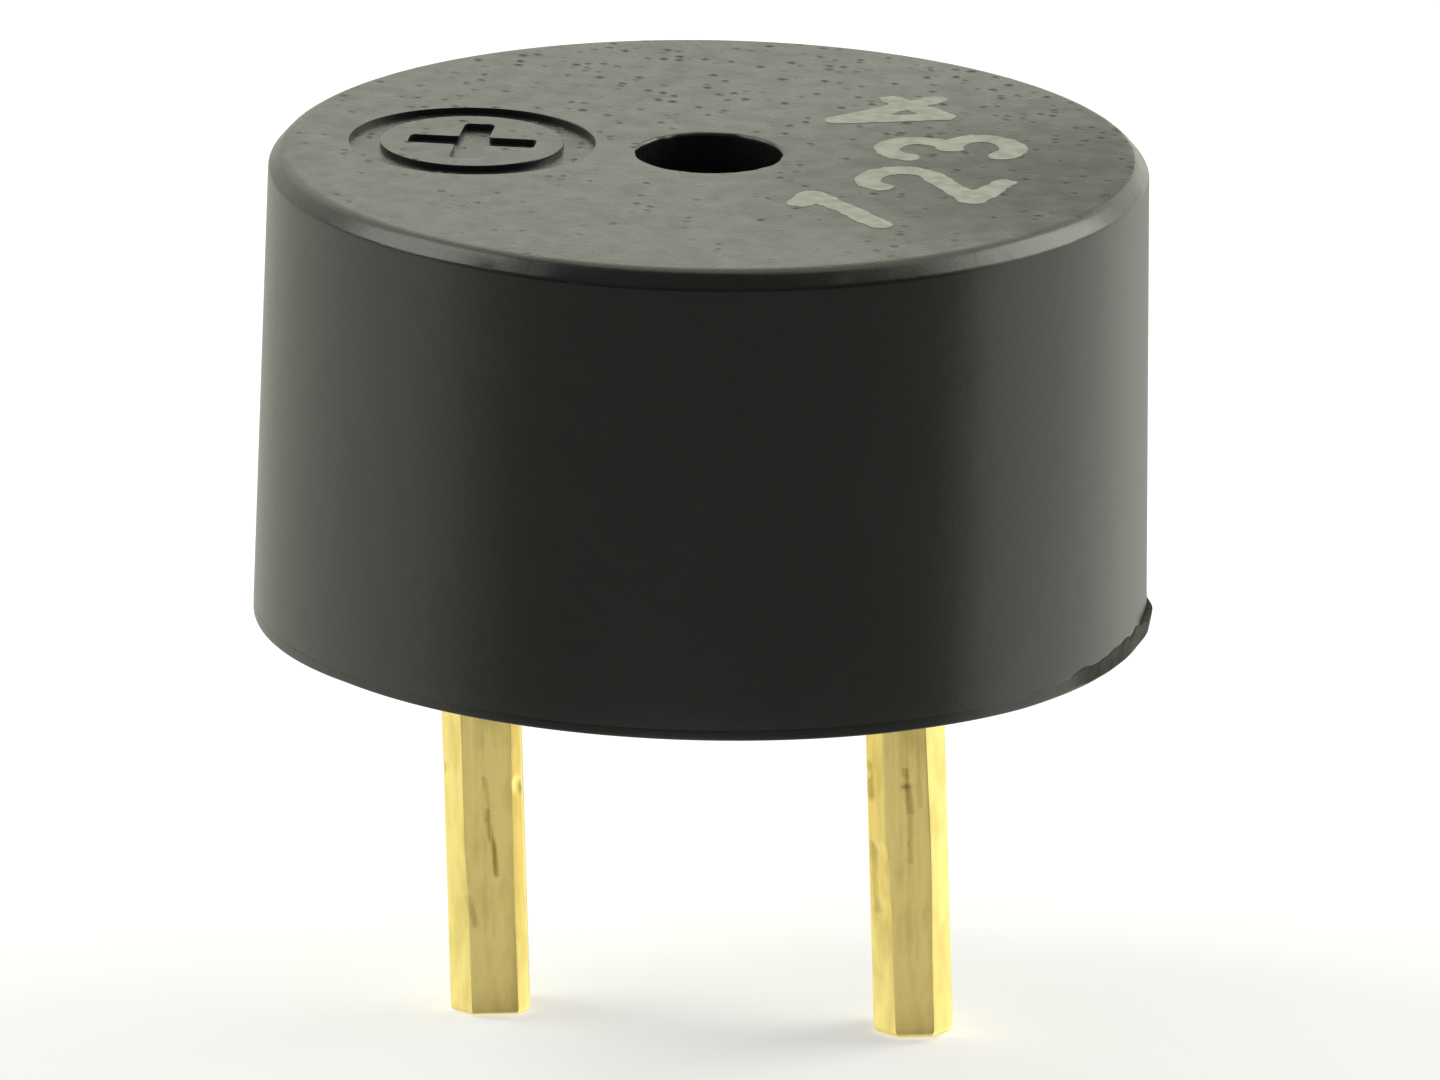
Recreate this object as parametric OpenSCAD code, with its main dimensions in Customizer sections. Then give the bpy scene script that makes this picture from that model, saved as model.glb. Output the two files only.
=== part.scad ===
// Magnetic buzzer, low round type with two through-board pins.
// Millimetres. Z = 0 is the seat, the face that meets the board. +Z points out of the sound hole.
// The pins stand on the X axis, and the positive one is on -X, under the polarity mark.

/* [Case] */
// Outer diameter at the foot of the wall
case_d = 12; // [10:0.1:16]
// Height from the seat to the top face
body_h = 6.4; // [5.3:0.1:9]
// Thickness of the wall at its foot
wall = 0.65; // [0.5:0.05:0.8]
// Thickness of the top
roof_t = 0.7; // [0.5:0.05:0.85]
// Draft of the wall, in degrees
draft = 1; // [0:0.1:2]
// Radius of the rounded top edge
edge_r = 0.24; // [0.1:0.02:0.4]
// Diameter of the sound hole
hole_d = 1.96; // [1:0.02:3]
// Width of the bevel round the sound hole
hole_bevel = 0.05; // [0.02:0.01:0.15]
// Step that centres the magnet system above the base, on the radius
bore_step = 0.15; // [0.1:0.05:0.3]
// Height of the relief at the foot of the wall, on its open side
relief_h = 0.13; // [0.05:0.01:0.2]
// Distance from the axis at which the relief begins
relief_from = 4.3; // [3.6:0.1:5.2]
// Direction of the open side, in degrees from +X
relief_dir = 8; // [-90:1:90]

/* [Polarity mark] */
// Outer diameter of the round groove
mark_d = 3.3; // [2.6:0.1:3.6]
// Width of the groove
groove_w = 0.42; // [0.2:0.02:0.5]
// Distance of the mark from the axis
mark_at = 3.2; // [3:0.05:3.5]
// Length of each bar of the plus sign
plus_l = 1.7; // [1:0.1:1.8]
// Width of each bar of the plus sign
plus_w = 0.4; // [0.2:0.02:0.5]
// Depth of the groove and the plus sign
mark_depth = 0.11; // [0.05:0.01:0.2]

/* [Base] */
// Thickness of the flange under the wall
flange_t = 0.14; // [0.1:0.01:0.25]
// Thickness of the floor between the recess and the yoke
floor_t = 0.8; // [0.6:0.05:1]
// Depth of the recess in the underside
recess_depth = 0.5; // [0.4:0.05:0.6]
// Width of the seat round the recess
seat_w = 1.3; // [1.1:0.05:1.5]
// How far the welding flash stands out of the wall
flash_out = 0.09; // [0.03:0.01:0.15]
// Direction in which the flash stands out most, in degrees from +X
flash_dir = 1; // [-180:1:180]
// Depth of the sealing resin below the seat plane
resin_sink = 0.08; // [0.04:0.01:0.15]

/* [Pins] */
// Distance between the pins
pin_pitch = 5.75; // [4.8:0.05:7]
// Width across the flats
pin_w = 1.06; // [0.8:0.02:1.3]
// Bevel along each corner of the square bar
pin_bevel = 0.22; // [0.1:0.02:0.3]
// Length below the seat
pin_out = 5.7; // [3:0.1:8]
// Lean of both pins towards +X, in degrees from the axis
pin_lean = 2.7; // [0:0.1:4]
// Turn of both pins about their own length, in degrees
pin_turn = 7; // [0:1:45]
// Bevel round the tip
tip_bevel = 0.11; // [0.05:0.01:0.2]
// Plastic left between a pin's head and the yoke
head_cover = 0.2; // [0.15:0.05:0.4]
// Width of the solder round a pin, on the radius
solder_w = 0.3; // [0.2:0.05:0.4]
// Height of the solder
solder_h = 0.28; // [0.2:0.02:0.3]

/* [Magnet system] */
// Thickness of the yoke plate
yoke_t = 0.6; // [0.4:0.05:0.8]
// Diameter of the core
core_d = 2; // [1.5:0.1:2.4]
// Diameter of the core's riveted shank
shank_d = 1.4; // [1:0.1:1.4]
// Radial width of the ring magnet
magnet_w = 1.35; // [1:0.05:1.6]
// Height of the ring magnet
magnet_h = 1.9; // [1.5:0.05:2.1]
// Free space between the magnet and the coil, on the radius
coil_gap = 0.45; // [0.4:0.05:0.6]
// Thickness of the bobbin's tube and flanges
bobbin_t = 0.15; // [0.1:0.01:0.2]
// How far the core stands above the bobbin
core_proud = 0.2; // [0.1:0.05:0.4]
// How far the bobbin's flanges stand out of the winding
flange_proud = 0.1; // [0.08:0.01:0.15]
// Diameter of the winding wire's two leads
lead_d = 0.09; // [0.06:0.01:0.11]
// Diameter of the holes that the leads pass through
lead_hole_d = 0.5; // [0.3:0.05:0.6]
// Angle between a pin and its lead hole
lead_turn = 40; // [36:1:60]

/* [Diaphragm] */
// Thickness of the diaphragm
diaphragm_t = 0.06; // [0.04:0.01:0.1]
// Height of the diaphragm above the magnet
magnet_gap = 0.3; // [0.2:0.05:0.5]
// Air gap between the diaphragm and the core
air_gap = 0.2; // [0.15:0.01:0.3]
// Diameter of the armature disc
armature_d = 3.6; // [2.4:0.1:4.4]
// Thickness of the armature disc
armature_t = 0.35; // [0.2:0.05:0.4]
// Bevel round the top of the armature disc
armature_bevel = 0.07; // [0.03:0.01:0.1]
// Diameter of the dimple in the armature disc
dimple_d = 0.6; // [0.4:0.1:1]
// Width of the ledge that carries the diaphragm
ledge_w = 0.32; // [0.2:0.02:0.4]
// Thickness of the lip round the diaphragm
lip_w = 0.15; // [0.1:0.01:0.2]
// Height of the lip above the ledge
lip_h = 0.25; // [0.15:0.05:0.35]

/* [Clearances] */
// Sliding clearance on the radius
slide_fit = 0.05; // [0.02:0.01:0.1]
// Tight clearance on the radius
tight_fit = 0.02; // [0.01:0.01:0.04]
// Joint line of solder and resin
bond = 0.01; // [0.01:0.01:0.02]

/* [Hidden] */
$fn = 96;
over = 1; // how far a cutting solid runs past what it cuts

pin_corner_r = norm([pin_w / 2, pin_w / 2 - pin_bevel]);

// Heights, from the seat up
head_z = recess_depth + floor_t - head_cover;
base_top = recess_depth + floor_t;
yoke_top = base_top + yoke_t;
ledge_z = yoke_top + magnet_h + magnet_gap;
core_top = ledge_z - air_gap;
bobbin_top = core_top - core_proud;
armature_z = ledge_z + diaphragm_t;
ring_top = ledge_z + lip_h;
lead_z = recess_depth - 2 * lead_d;
lead_bend = 1.2 * lead_d;
// The leaning cone's edge clears the floor of the base
solder_lift = (pin_corner_r + solder_w) * sin(pin_lean) + bond;
roof_z = body_h - roof_t;

// Radii, from the wall in
case_r = case_d / 2;
spigot_bore_r = case_r - wall;
system_bore_r = spigot_bore_r - bore_step;
ring_r = system_bore_r - slide_fit;
lip_r = ring_r - lip_w;
diaphragm_r = lip_r - slide_fit;
ledge_r = lip_r - ledge_w;
magnet_r = ledge_r - slide_fit;
magnet_bore_r = magnet_r - magnet_w;
bobbin_r = magnet_bore_r - coil_gap;
winding_r = bobbin_r - flange_proud;
tube_bore_r = core_d / 2 + tight_fit;
tube_r = tube_bore_r + bobbin_t;
chamber_r = lip_r - lip_w / 2;
recess_r = case_r - seat_w;
lead_r = bobbin_r + coil_gap / 2;

// A ring of rectangular section
module ring(r_out, r_in, z_low, z_high) {
    rotate_extrude()
        translate([r_in, z_low])
            square([r_out - r_in, z_high - z_low]);
}

// Half section of the case's outside, with a drafted wall and a rounded top edge
module case_outline() {
    round_z = body_h - edge_r;
    round_x = case_r - (round_z - flange_t) * tan(draft) - edge_r / cos(draft);
    polygon([
        [0, flange_t],
        [case_r, flange_t],
        [round_x + edge_r * cos(draft), round_z + edge_r * sin(draft)],
        [round_x, round_z],
        [round_x, body_h],
        [0, body_h]
    ]);
    translate([round_x, round_z])
        circle(edge_r);
}

// Half section of the case's inside: the base's bore, the magnet system's bore and the sound chamber
module case_hollow() {
    translate([-over, flange_t - over])
        square([over + spigot_bore_r, base_top - flange_t + over]);
    translate([-over, 0])
        square([over + system_bore_r, ring_top + slide_fit]);
    translate([-over, 0])
        square([over + chamber_r, roof_z]);
}

module sound_hole() {
    translate([0, 0, roof_z - over])
        cylinder(d = hole_d, h = roof_t + 2 * over);
    translate([0, 0, body_h - hole_bevel])
        cylinder(d1 = hole_d, d2 = hole_d + 4 * hole_bevel, h = 2 * hole_bevel);
}

// A plus sign inside a round groove, both sunk into the top over the positive pin
module polarity_mark() {
    translate([-mark_at, 0, body_h - mark_depth]) {
        ring(mark_d / 2, mark_d / 2 - groove_w, 0, mark_depth + over);
        for (turn = [0, 90])
            rotate([0, 0, turn])
                translate([-plus_l / 2, -plus_w / 2, 0])
                    cube([plus_l, plus_w, mark_depth + over]);
    }
}

// A wedge under the foot of the wall: from nothing at relief_from to relief_h at the wall's face
module wall_relief() {
    run = case_r - relief_from;
    rotate([0, 0, relief_dir])
        translate([0, case_r, 0])
            rotate([90, 0, 0])
                linear_extrude(height = case_d)
                    polygon([
                        [relief_from, flange_t],
                        [relief_from + 2 * run, flange_t + 2 * relief_h],
                        [relief_from + 2 * run, flange_t - relief_h],
                        [relief_from, flange_t - relief_h]
                    ]);
}

module case() {
    color("#24241f")
        difference() {
            rotate_extrude()
                difference() {
                    case_outline();
                    case_hollow();
                }
            sound_hole();
            polarity_mark();
            wall_relief();
        }
}

// Puts its children on a pin: side is -1 for the positive pin and 1 for the negative one
module on_pin(side) {
    translate([side * pin_pitch / 2, 0, -pin_out / 2])
        rotate([0, -pin_lean, 0])
            translate([0, 0, pin_out / 2])
                rotate([0, 0, pin_turn])
                    children();
}

// Section of a square bar with bevelled corners, grown by a clearance
module pin_section(grow = 0) {
    half = pin_w / 2 + grow;
    flat = half - pin_bevel;
    polygon([
        [half, flat], [flat, half], [-flat, half], [-half, flat],
        [-half, -flat], [-flat, -half], [flat, -half], [half, -flat]
    ]);
}

module pin_bar(grow = 0) {
    translate([0, 0, -pin_out - grow])
        linear_extrude(height = pin_out + head_z + 2 * grow)
            pin_section(grow);
}

// Side view of a pin with its bevelled tip, as thick as the pin
module tip_profile() {
    half = pin_w / 2;
    translate([0, half + over, 0])
        rotate([90, 0, 0])
            linear_extrude(height = pin_w + 2 * over)
                polygon([
                    [-half, head_z + over], [-half, tip_bevel - pin_out],
                    [tip_bevel - half, -pin_out], [half - tip_bevel, -pin_out],
                    [half, tip_bevel - pin_out], [half, head_z + over]
                ]);
}

module pin(side) {
    color("#cfb052")
        on_pin(side)
            intersection() {
                pin_bar();
                tip_profile();
                rotate([0, 0, 90])
                    tip_profile();
            }
}

// The flange's outline: a full circle, and a smaller one that bulges out of it as welding flash
module flange_outline() {
    flash_r = 0.43 * case_r;
    circle(case_r);
    rotate([0, 0, flash_dir])
        translate([case_r + flash_out - flash_r, 0])
            circle(flash_r);
}

module lead_holes() {
    for (turn = [lead_turn, lead_turn + 180])
        rotate([0, 0, turn])
            translate([lead_r, 0, 0])
                cylinder(d = lead_hole_d, h = yoke_top + over);
}

module base() {
    color("#1c1c1a")
        difference() {
            union() {
                linear_extrude(height = flange_t)
                    flange_outline();
                cylinder(r = spigot_bore_r - tight_fit, h = base_top);
            }
            translate([0, 0, -over])
                cylinder(r = recess_r, h = recess_depth + over);
            lead_holes();
            for (side = [-1, 1])
                on_pin(side)
                    pin_bar(tight_fit);
        }
}

// Cone of solder from the floor of the base down a pin
module solder_cone(side, grow = 0) {
    wide = pin_corner_r + solder_w + grow;
    narrow = pin_corner_r + solder_w / 4 + grow;
    on_pin(side)
        translate([0, 0, recess_depth - solder_lift - solder_h - grow])
            cylinder(r1 = narrow, r2 = wide, h = solder_h + 2 * grow);
}

module solder(side) {
    color("#b9bcbd")
        difference() {
            solder_cone(side);
            on_pin(side)
                pin_bar(bond);
            lead_wire(side, bond);
        }
}

// Position of a pin's axis at a height
function pin_x(side, z) = side * pin_pitch / 2 - (z + pin_out / 2) * tan(pin_lean);
// Where a lead passes down through the base
function hole_x(side) = side * lead_r * cos(lead_turn);
function hole_y(side) = side * lead_r * sin(lead_turn);
// From there to its pin: the distance, and the direction in degrees
function run_to_pin(side) = norm([pin_x(side, lead_z) - hole_x(side), hole_y(side)]);
function way_to_pin(side) = atan2(-hole_y(side), pin_x(side, lead_z) - hole_x(side));

// A round wire that comes down on the axis to lead_bend above the origin, and turns to run along +X
module bend_and_run(d, run) {
    translate([lead_bend, 0, lead_bend])
        rotate([90, 0, 0])
            rotate([0, 0, 180])
                rotate_extrude(angle = 90)
                    translate([lead_bend, 0])
                        circle(d = d);
    translate([lead_bend, 0, 0])
        rotate([0, 90, 0])
            cylinder(d = d, h = run - lead_bend);
}

// A lead leaves the coil outwards, turns down through the base and turns again to its pin.
// The start lies in the slot under the winding, and the finish comes off the outside.
module lead_wire(side, grow = 0) {
    d = lead_d + 2 * grow;
    turn = side < 0 ? lead_turn + 180 : lead_turn;
    coil_r = side < 0 ? tube_r + 2 * lead_d : winding_r + lead_d / 2 + tight_fit;
    coil_z = side < 0 ? yoke_top + bobbin_t / 2 : (yoke_top + bobbin_top) / 2;
    rotate([0, 0, turn])
        translate([lead_r, 0, 0]) {
            translate([0, 0, coil_z])
                mirror([0, 0, 1])
                    mirror([1, 0, 0])
                        bend_and_run(d, lead_r - coil_r);
            translate([0, 0, lead_z + lead_bend])
                cylinder(d = d, h = coil_z - lead_z - 2 * lead_bend);
            translate([0, 0, lead_z])
                rotate([0, 0, way_to_pin(side) - turn])
                    bend_and_run(d, run_to_pin(side) - pin_corner_r - lead_d + grow);
        }
}

module lead(side) {
    color("#b5673a")
        lead_wire(side);
}

module sealing_resin() {
    color("#15151a")
        difference() {
            translate([0, 0, resin_sink])
                cylinder(r = recess_r, h = recess_depth - resin_sink);
            for (side = [-1, 1]) {
                on_pin(side)
                    pin_bar(bond);
                solder_cone(side, bond);
                lead_wire(side, bond);
            }
        }
}

module yoke() {
    color("#a9abac")
        difference() {
            translate([0, 0, base_top])
                cylinder(r = ring_r, h = yoke_t);
            translate([0, 0, base_top - over])
                cylinder(d = shank_d + 2 * bond, h = yoke_t + 2 * over);
            lead_holes();
        }
}

module core() {
    color("#b4b6b8") {
        translate([0, 0, base_top])
            cylinder(d = shank_d, h = core_top - base_top);
        translate([0, 0, yoke_top])
            cylinder(d = core_d, h = core_top - yoke_top);
    }
}

module magnet() {
    color("#3b3a3c")
        ring(magnet_r, magnet_bore_r, yoke_top, yoke_top + magnet_h);
}

module bobbin() {
    color("#e4ddcc")
        difference() {
            union() {
                ring(tube_r, tube_bore_r, yoke_top, bobbin_top);
                ring(bobbin_r, tube_bore_r, yoke_top, yoke_top + bobbin_t);
                ring(bobbin_r, tube_bore_r, bobbin_top - bobbin_t, bobbin_top);
            }
            rotate([0, 0, lead_turn + 180])
                translate([tube_r + lead_d, -lead_d, yoke_top - over])
                    cube([bobbin_r, 2 * lead_d, bobbin_t + over]);
        }
}

module winding() {
    color("#b06a34")
        ring(winding_r, tube_r + bond, yoke_top + bobbin_t, bobbin_top - bobbin_t);
}

module support_ring() {
    color("#c9b26a") {
        ring(ring_r, ledge_r, yoke_top, ledge_z);
        ring(ring_r, lip_r, yoke_top, ring_top);
    }
}

module diaphragm() {
    color("#c7c9ca")
        translate([0, 0, ledge_z])
            cylinder(r = diaphragm_r, h = diaphragm_t);
}

// A disc with a bevelled top edge and a shallow dimple from the spot weld
module armature() {
    color("#9fa2a4")
        translate([0, 0, armature_z])
            difference() {
                union() {
                    cylinder(d = armature_d, h = armature_t - armature_bevel);
                    translate([0, 0, armature_t - armature_bevel])
                        cylinder(
                            d1 = armature_d,
                            d2 = armature_d - 2 * armature_bevel,
                            h = armature_bevel
                        );
                }
                translate([0, 0, armature_t - armature_bevel])
                    cylinder(d = dimple_d, h = armature_bevel + over);
            }
}

case();
base();
sealing_resin();
pin(-1);  // pin_positive
pin(1);  // pin_negative
solder(-1);  // solder_positive
solder(1);  // solder_negative
yoke();
core();
magnet();
bobbin();
winding();
lead(-1);  // lead_start
lead(1);  // lead_finish
support_ring();
diaphragm();
armature();
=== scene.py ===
# %% [markdown]
# # A magnetic buzzer
# This lesson dresses a small round buzzer, 12 mm across, that stands on two gold-plated pins.
# The CAD model gives every piece its place and size. Blender gives it the surfaces: sparked
# and smooth black plastic, drawn gold-plated bar, poured resin, enamelled copper and steel.

import math
from functools import partial

import bmesh
import bpy
import numpy as np
from mathutils import Matrix, Vector


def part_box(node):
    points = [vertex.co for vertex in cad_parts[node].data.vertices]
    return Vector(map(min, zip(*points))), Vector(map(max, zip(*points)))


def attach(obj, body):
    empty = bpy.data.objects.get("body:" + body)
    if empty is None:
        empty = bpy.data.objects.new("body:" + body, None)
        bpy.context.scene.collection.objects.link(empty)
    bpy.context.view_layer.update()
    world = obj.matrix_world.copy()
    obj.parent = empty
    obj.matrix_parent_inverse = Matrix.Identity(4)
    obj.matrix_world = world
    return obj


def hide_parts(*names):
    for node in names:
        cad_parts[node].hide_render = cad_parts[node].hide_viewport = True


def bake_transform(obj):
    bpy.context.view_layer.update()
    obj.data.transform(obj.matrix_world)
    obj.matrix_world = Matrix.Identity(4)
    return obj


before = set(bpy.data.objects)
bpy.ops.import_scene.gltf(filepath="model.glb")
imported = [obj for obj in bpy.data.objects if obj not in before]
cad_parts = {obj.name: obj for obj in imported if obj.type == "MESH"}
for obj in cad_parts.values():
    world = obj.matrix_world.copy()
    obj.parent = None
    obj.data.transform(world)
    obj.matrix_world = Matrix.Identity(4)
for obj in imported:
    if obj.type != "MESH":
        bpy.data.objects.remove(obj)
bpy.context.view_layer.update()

# %% [markdown]
# ## Camera
# A part this small is seen through a long lens, so its edges stay nearly parallel.
# The camera could be placed by hand, but building its three axes from two angles keeps the
# view exact: 7 degrees round to the right, 16.5 degrees up, and a lean of about one degree.

# %% Camera
MM = 0.001
VIEW_AZIMUTH, VIEW_ELEVATION, VIEW_LEAN = (math.radians(a) for a in (7, 16.5, 1.15))
AIM = Vector((0.248, 0.030, 1.0)) * MM
CAMERA_DISTANCE = 389.5 * MM
SENSOR_WIDTH, LENS = 36, 725.3


def bearing(turn, up):
    """The way from the object at this angle round it and this height angle; 0, 0 is the front."""
    return Vector((math.sin(turn) * math.cos(up), -math.cos(turn) * math.cos(up), math.sin(up)))


to_camera = bearing(VIEW_AZIMUTH, VIEW_ELEVATION)
level_right = Vector((math.cos(VIEW_AZIMUTH), math.sin(VIEW_AZIMUTH), 0))
level_up = to_camera.cross(level_right)
camera_x = math.cos(VIEW_LEAN) * level_right + math.sin(VIEW_LEAN) * level_up
camera_y = -math.sin(VIEW_LEAN) * level_right + math.cos(VIEW_LEAN) * level_up

camera_data = bpy.data.cameras.new("camera")
camera_data.lens, camera_data.sensor_width = LENS, SENSOR_WIDTH
camera = bpy.data.objects.new("camera", camera_data)
bpy.context.collection.objects.link(camera)
camera.matrix_world = (
    Matrix.Translation(AIM + to_camera * CAMERA_DISTANCE)
    @ Matrix((camera_x, camera_y, to_camera)).transposed().to_4x4()
)
bpy.context.scene.camera = camera
print("camera at", [round(v, 4) for v in camera.location])

# %% [markdown]
# ## Sizes from the CAD model
# The main sizes below are read from the boxes of the CAD pieces, and the new shapes build on them.
# Reading the boxes is safer than typing sizes again, because the two can't drift apart.

# %% Sizes in millimetres
HOUSING, ARMATURE = "housing", "armature_disc"


def limits(node):
    """Lowest and highest corner of a CAD node, in millimetres."""
    low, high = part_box(node)
    return low / MM, high / MM


case_low, case_high = limits("case")
BODY_H, FLANGE_T, CASE_R = case_high.z, case_low.z, -case_low.x
BASE_TOP = limits("base")[1].z
resin_low, resin_high = limits("sealing_resin")
RECESS_R, RECESS_DEPTH, RESIN_FACE = resin_high.x, resin_high.z, resin_low.z
PIN_TIP_Z, PIN_HEAD_Z = (corner.z for corner in limits("pin_positive"))
print(f"case radius {CASE_R:.3f}, top {BODY_H:.3f}, flange {FLANGE_T:.3f}, recess {RECESS_R:.3f}")

# %% [markdown]
# ## Helpers for shapes
# Almost every piece of the buzzer is round about one axis: moulded, turned or stamped.
# A lathe function is the natural maker: it takes a half section and spins it. Sharp corners
# never exist on real pieces, so the section's corners are first rounded by a real radius.

# %% Round the corners of a half section
def rounded(corners, steps=6):
    """Turns corners (r, z, radius) of an outline into points, with an arc at each soft corner."""
    points = []
    for i, (r, z, radius) in enumerate(corners):
        here = Vector((r, z))
        if radius == 0:
            points.append(here)
            continue
        before = Vector(corners[i - 1][:2]) - here
        after = Vector(corners[(i + 1) % len(corners)][:2]) - here
        half = before.angle(after) / 2
        before.normalize()
        after.normalize()
        centre = here + (before + after).normalized() * radius / math.sin(half)
        start = here + before * radius / math.tan(half) - centre
        end = here + after * radius / math.tan(half) - centre
        turn = start.angle_signed(end)
        for step in range(steps + 1):
            angle = -turn * step / steps
            cosine, sine = math.cos(angle), math.sin(angle)
            points.append(centre + Vector((
                start.x * cosine - start.y * sine, start.x * sine + start.y * cosine)))
    return points


test_arc = rounded([(0, 0, 0), (2, 0, 0.5), (2, 2, 0)])
print("an arc from", [round(v, 3) for v in test_arc[1]], "to", [round(v, 3) for v in test_arc[-2]])

# %% Make a mesh object
SHARP_ANGLE = math.radians(32)


def shade(obj):
    """Smooth shading, with edges steeper than SHARP_ANGLE kept crisp."""
    obj.data.shade_smooth()
    obj.data.set_sharp_from_angle(angle=SHARP_ANGLE)
    return obj


def mesh_object(name, vertices_mm, faces, material=None):
    """A closed mesh from vertices in millimetres, with its faces turned outwards."""
    data = bpy.data.meshes.new(name)
    data.from_pydata([Vector(v) * MM for v in vertices_mm], [], faces)
    form = bmesh.new()
    form.from_mesh(data)
    bmesh.ops.recalc_face_normals(form, faces=form.faces)
    form.to_mesh(data)
    form.free()
    obj = bpy.data.objects.new(name, data)
    bpy.context.collection.objects.link(obj)
    if material:
        data.materials.append(material)
    return shade(obj)


def ring_faces(rings, sides):
    """Four-sided faces between rings of points that follow each other, and a face at each end."""
    around = [[i * sides + k, i * sides + (k + 1) % sides,
               (i + 1) * sides + (k + 1) % sides, (i + 1) * sides + k]
              for i in range(rings - 1) for k in range(sides)]
    return around + [list(range(sides)), list(range((rings - 1) * sides, rings * sides))]


print("a stack of 3 rings of 8 points has", len(ring_faces(3, 8)), "faces")

# %% Spin a half section
ON_AXIS = 1e-6


def lathe(name, section, material=None, segments=192, centre=(0, 0)):
    """Spins points (r, z) about a vertical axis. A point on the axis becomes a single vertex."""
    vertices, rings = [], []
    angles = np.linspace(0, 2 * math.pi, segments, endpoint=False)
    for r, z in section:
        first = len(vertices)
        if r < ON_AXIS:
            rings.append([first] * segments)
            vertices.append((*centre, z))
        else:
            rings.append(list(range(first, first + segments)))
            vertices += [(centre[0] + r * math.cos(a), centre[1] + r * math.sin(a), z)
                         for a in angles]
    faces = []
    for low, high in zip(rings, rings[1:] + rings[:1]):
        if low[0] == low[1] and high[0] == high[1]:
            continue
        for k in range(segments):
            n = (k + 1) % segments
            faces.append(list(dict.fromkeys([low[k], low[n], high[n], high[k]])))
    return mesh_object(name, vertices, faces, material)


print("points within", ON_AXIS, "mm of the axis become one vertex")

# %% [markdown]
# Holes and engraved marks are cut with booleans, as a tool would cut them.
# The cutters are used once and then removed, so nothing stray is left in the scene.

# %% Cut one piece with others
WELD = 0.0003


def evaluated_mesh(piece):
    """The piece's mesh with its modifiers applied."""
    return bpy.data.meshes.new_from_object(
        piece.evaluated_get(bpy.context.evaluated_depsgraph_get()))


def cut(piece, *cutters):
    """Subtracts the cutters from the piece, then deletes them.

    Points closer than WELD are joined, and points on a straight edge of two faces are dropped.
    """
    for cutter in cutters:
        step = piece.modifiers.new("cut", "BOOLEAN")
        step.operation, step.solver, step.object = "DIFFERENCE", "EXACT", cutter
    bpy.context.view_layer.update()
    result = evaluated_mesh(piece)
    form = bmesh.new()
    form.from_mesh(result)
    bmesh.ops.remove_doubles(form, verts=form.verts, dist=WELD * MM)
    bmesh.ops.dissolve_degenerate(form, edges=form.edges, dist=WELD * MM)
    bmesh.ops.dissolve_verts(form, verts=[v for v in form.verts if len(v.link_edges) == 2])
    form.to_mesh(result)
    form.free()
    piece.modifiers.clear()
    piece.data = result
    for cutter in cutters:
        bpy.data.objects.remove(cutter)
    return shade(piece)


print("a cut joins points within", WELD * 1000, "microns")

# %% Keep broad faces flat
# The broadest faces count the most: 50 would be neutral
BROAD_WEIGHT = 100


def settle_normals(piece):
    """Leans each normal towards the broad faces beside it, so that only soft edges look curved."""
    step = piece.modifiers.new("settle", "WEIGHTED_NORMAL")
    step.keep_sharp, step.weight = True, BROAD_WEIGHT
    result = evaluated_mesh(piece)
    piece.modifiers.clear()
    piece.data = result
    print("normals of", piece.name, "settled")


# %% Show a piece in place of CAD nodes
def install(piece, body, slot_name, *nodes):
    """The piece rides on a body and stands in for the CAD nodes. Its slot name is not used."""
    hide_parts(*nodes)
    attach(piece, body)
    print(f"{piece.name}: {len(piece.data.polygons)} faces on {body}")
    return piece


# %% [markdown]
# ## Helpers for materials
# A shader is a small graph of nodes. One function adds any node: its settings go in by name,
# and each input gets either a value or the output of an earlier node. Three more fill in the
# inputs that recur: of a texture with a real size, of a change of range, of a mix of colours.

# %% Colours and nodes
def linear(hex_colour):
    """An sRGB hex colour as the linear values a shader works with."""
    channels = [int(hex_colour[i:i + 2], 16) / 255 for i in (1, 3, 5)]
    return (*[c / 12.92 if c <= 0.04045 else ((c + 0.055) / 1.055) ** 2.4 for c in channels], 1)


def add_node(tree, kind, inputs=None, out=0, **settings):
    """Adds a node, sets it up, fills or joins its inputs, and returns the output(s) asked for."""
    made = tree.nodes.new("ShaderNode" + kind)
    for name, value in settings.items():
        setattr(made, name, value)
    for key, value in (inputs or {}).items():
        if isinstance(value, bpy.types.NodeSocket):
            tree.links.new(value, made.inputs[key])
        else:
            made.inputs[key].default_value = value
    if isinstance(out, tuple):
        return [made.outputs[key] for key in out]
    return made.outputs[out] if made.outputs else None


def new_material(name):
    """An empty material, a function that adds nodes to it, and the place of each point."""
    material = bpy.data.materials.new(name)
    material.use_nodes = True
    material.node_tree.nodes.clear()
    node = partial(add_node, material.node_tree)
    return material, node, node("TexCoord", out="Object")


def finish_material(material, node, surface):
    """Joins the surface to the output. It is a shader, or the inputs of a Principled one."""
    if isinstance(surface, dict):
        surface = node("BsdfPrincipled", surface)
    node("OutputMaterial", {"Surface": surface})
    print("material", material.name, "with", len(material.node_tree.nodes), "nodes")
    return material


# %% Inputs that recur
# A Mix node set to colour keeps its two colours at these inputs, and its result here
MIX_A, MIX_B, MIX_RESULT = 6, 7, 2
COLOUR = {"data_type": "RGBA", "out": MIX_RESULT}
# A change of range with this setting starts and ends softly
SOFT_STEP = {"interpolation_type": "SMOOTHSTEP"}


def per_mm(feature_mm):
    """The texture scale, per metre, that gives features of this size: one over the size."""
    return 1 / (feature_mm * MM)


def grain(place, feature_mm, detail):
    """Inputs of a noise texture with features of this size."""
    return {"Vector": place, "Scale": per_mm(feature_mm), "Detail": detail}


def span(value, low, high, start=0.0, end=1.0):
    """Inputs that turn a value between low and high into one between start and end."""
    return {"Value": value, "From Min": low, "From Max": high, "To Min": start, "To Max": end}


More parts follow.
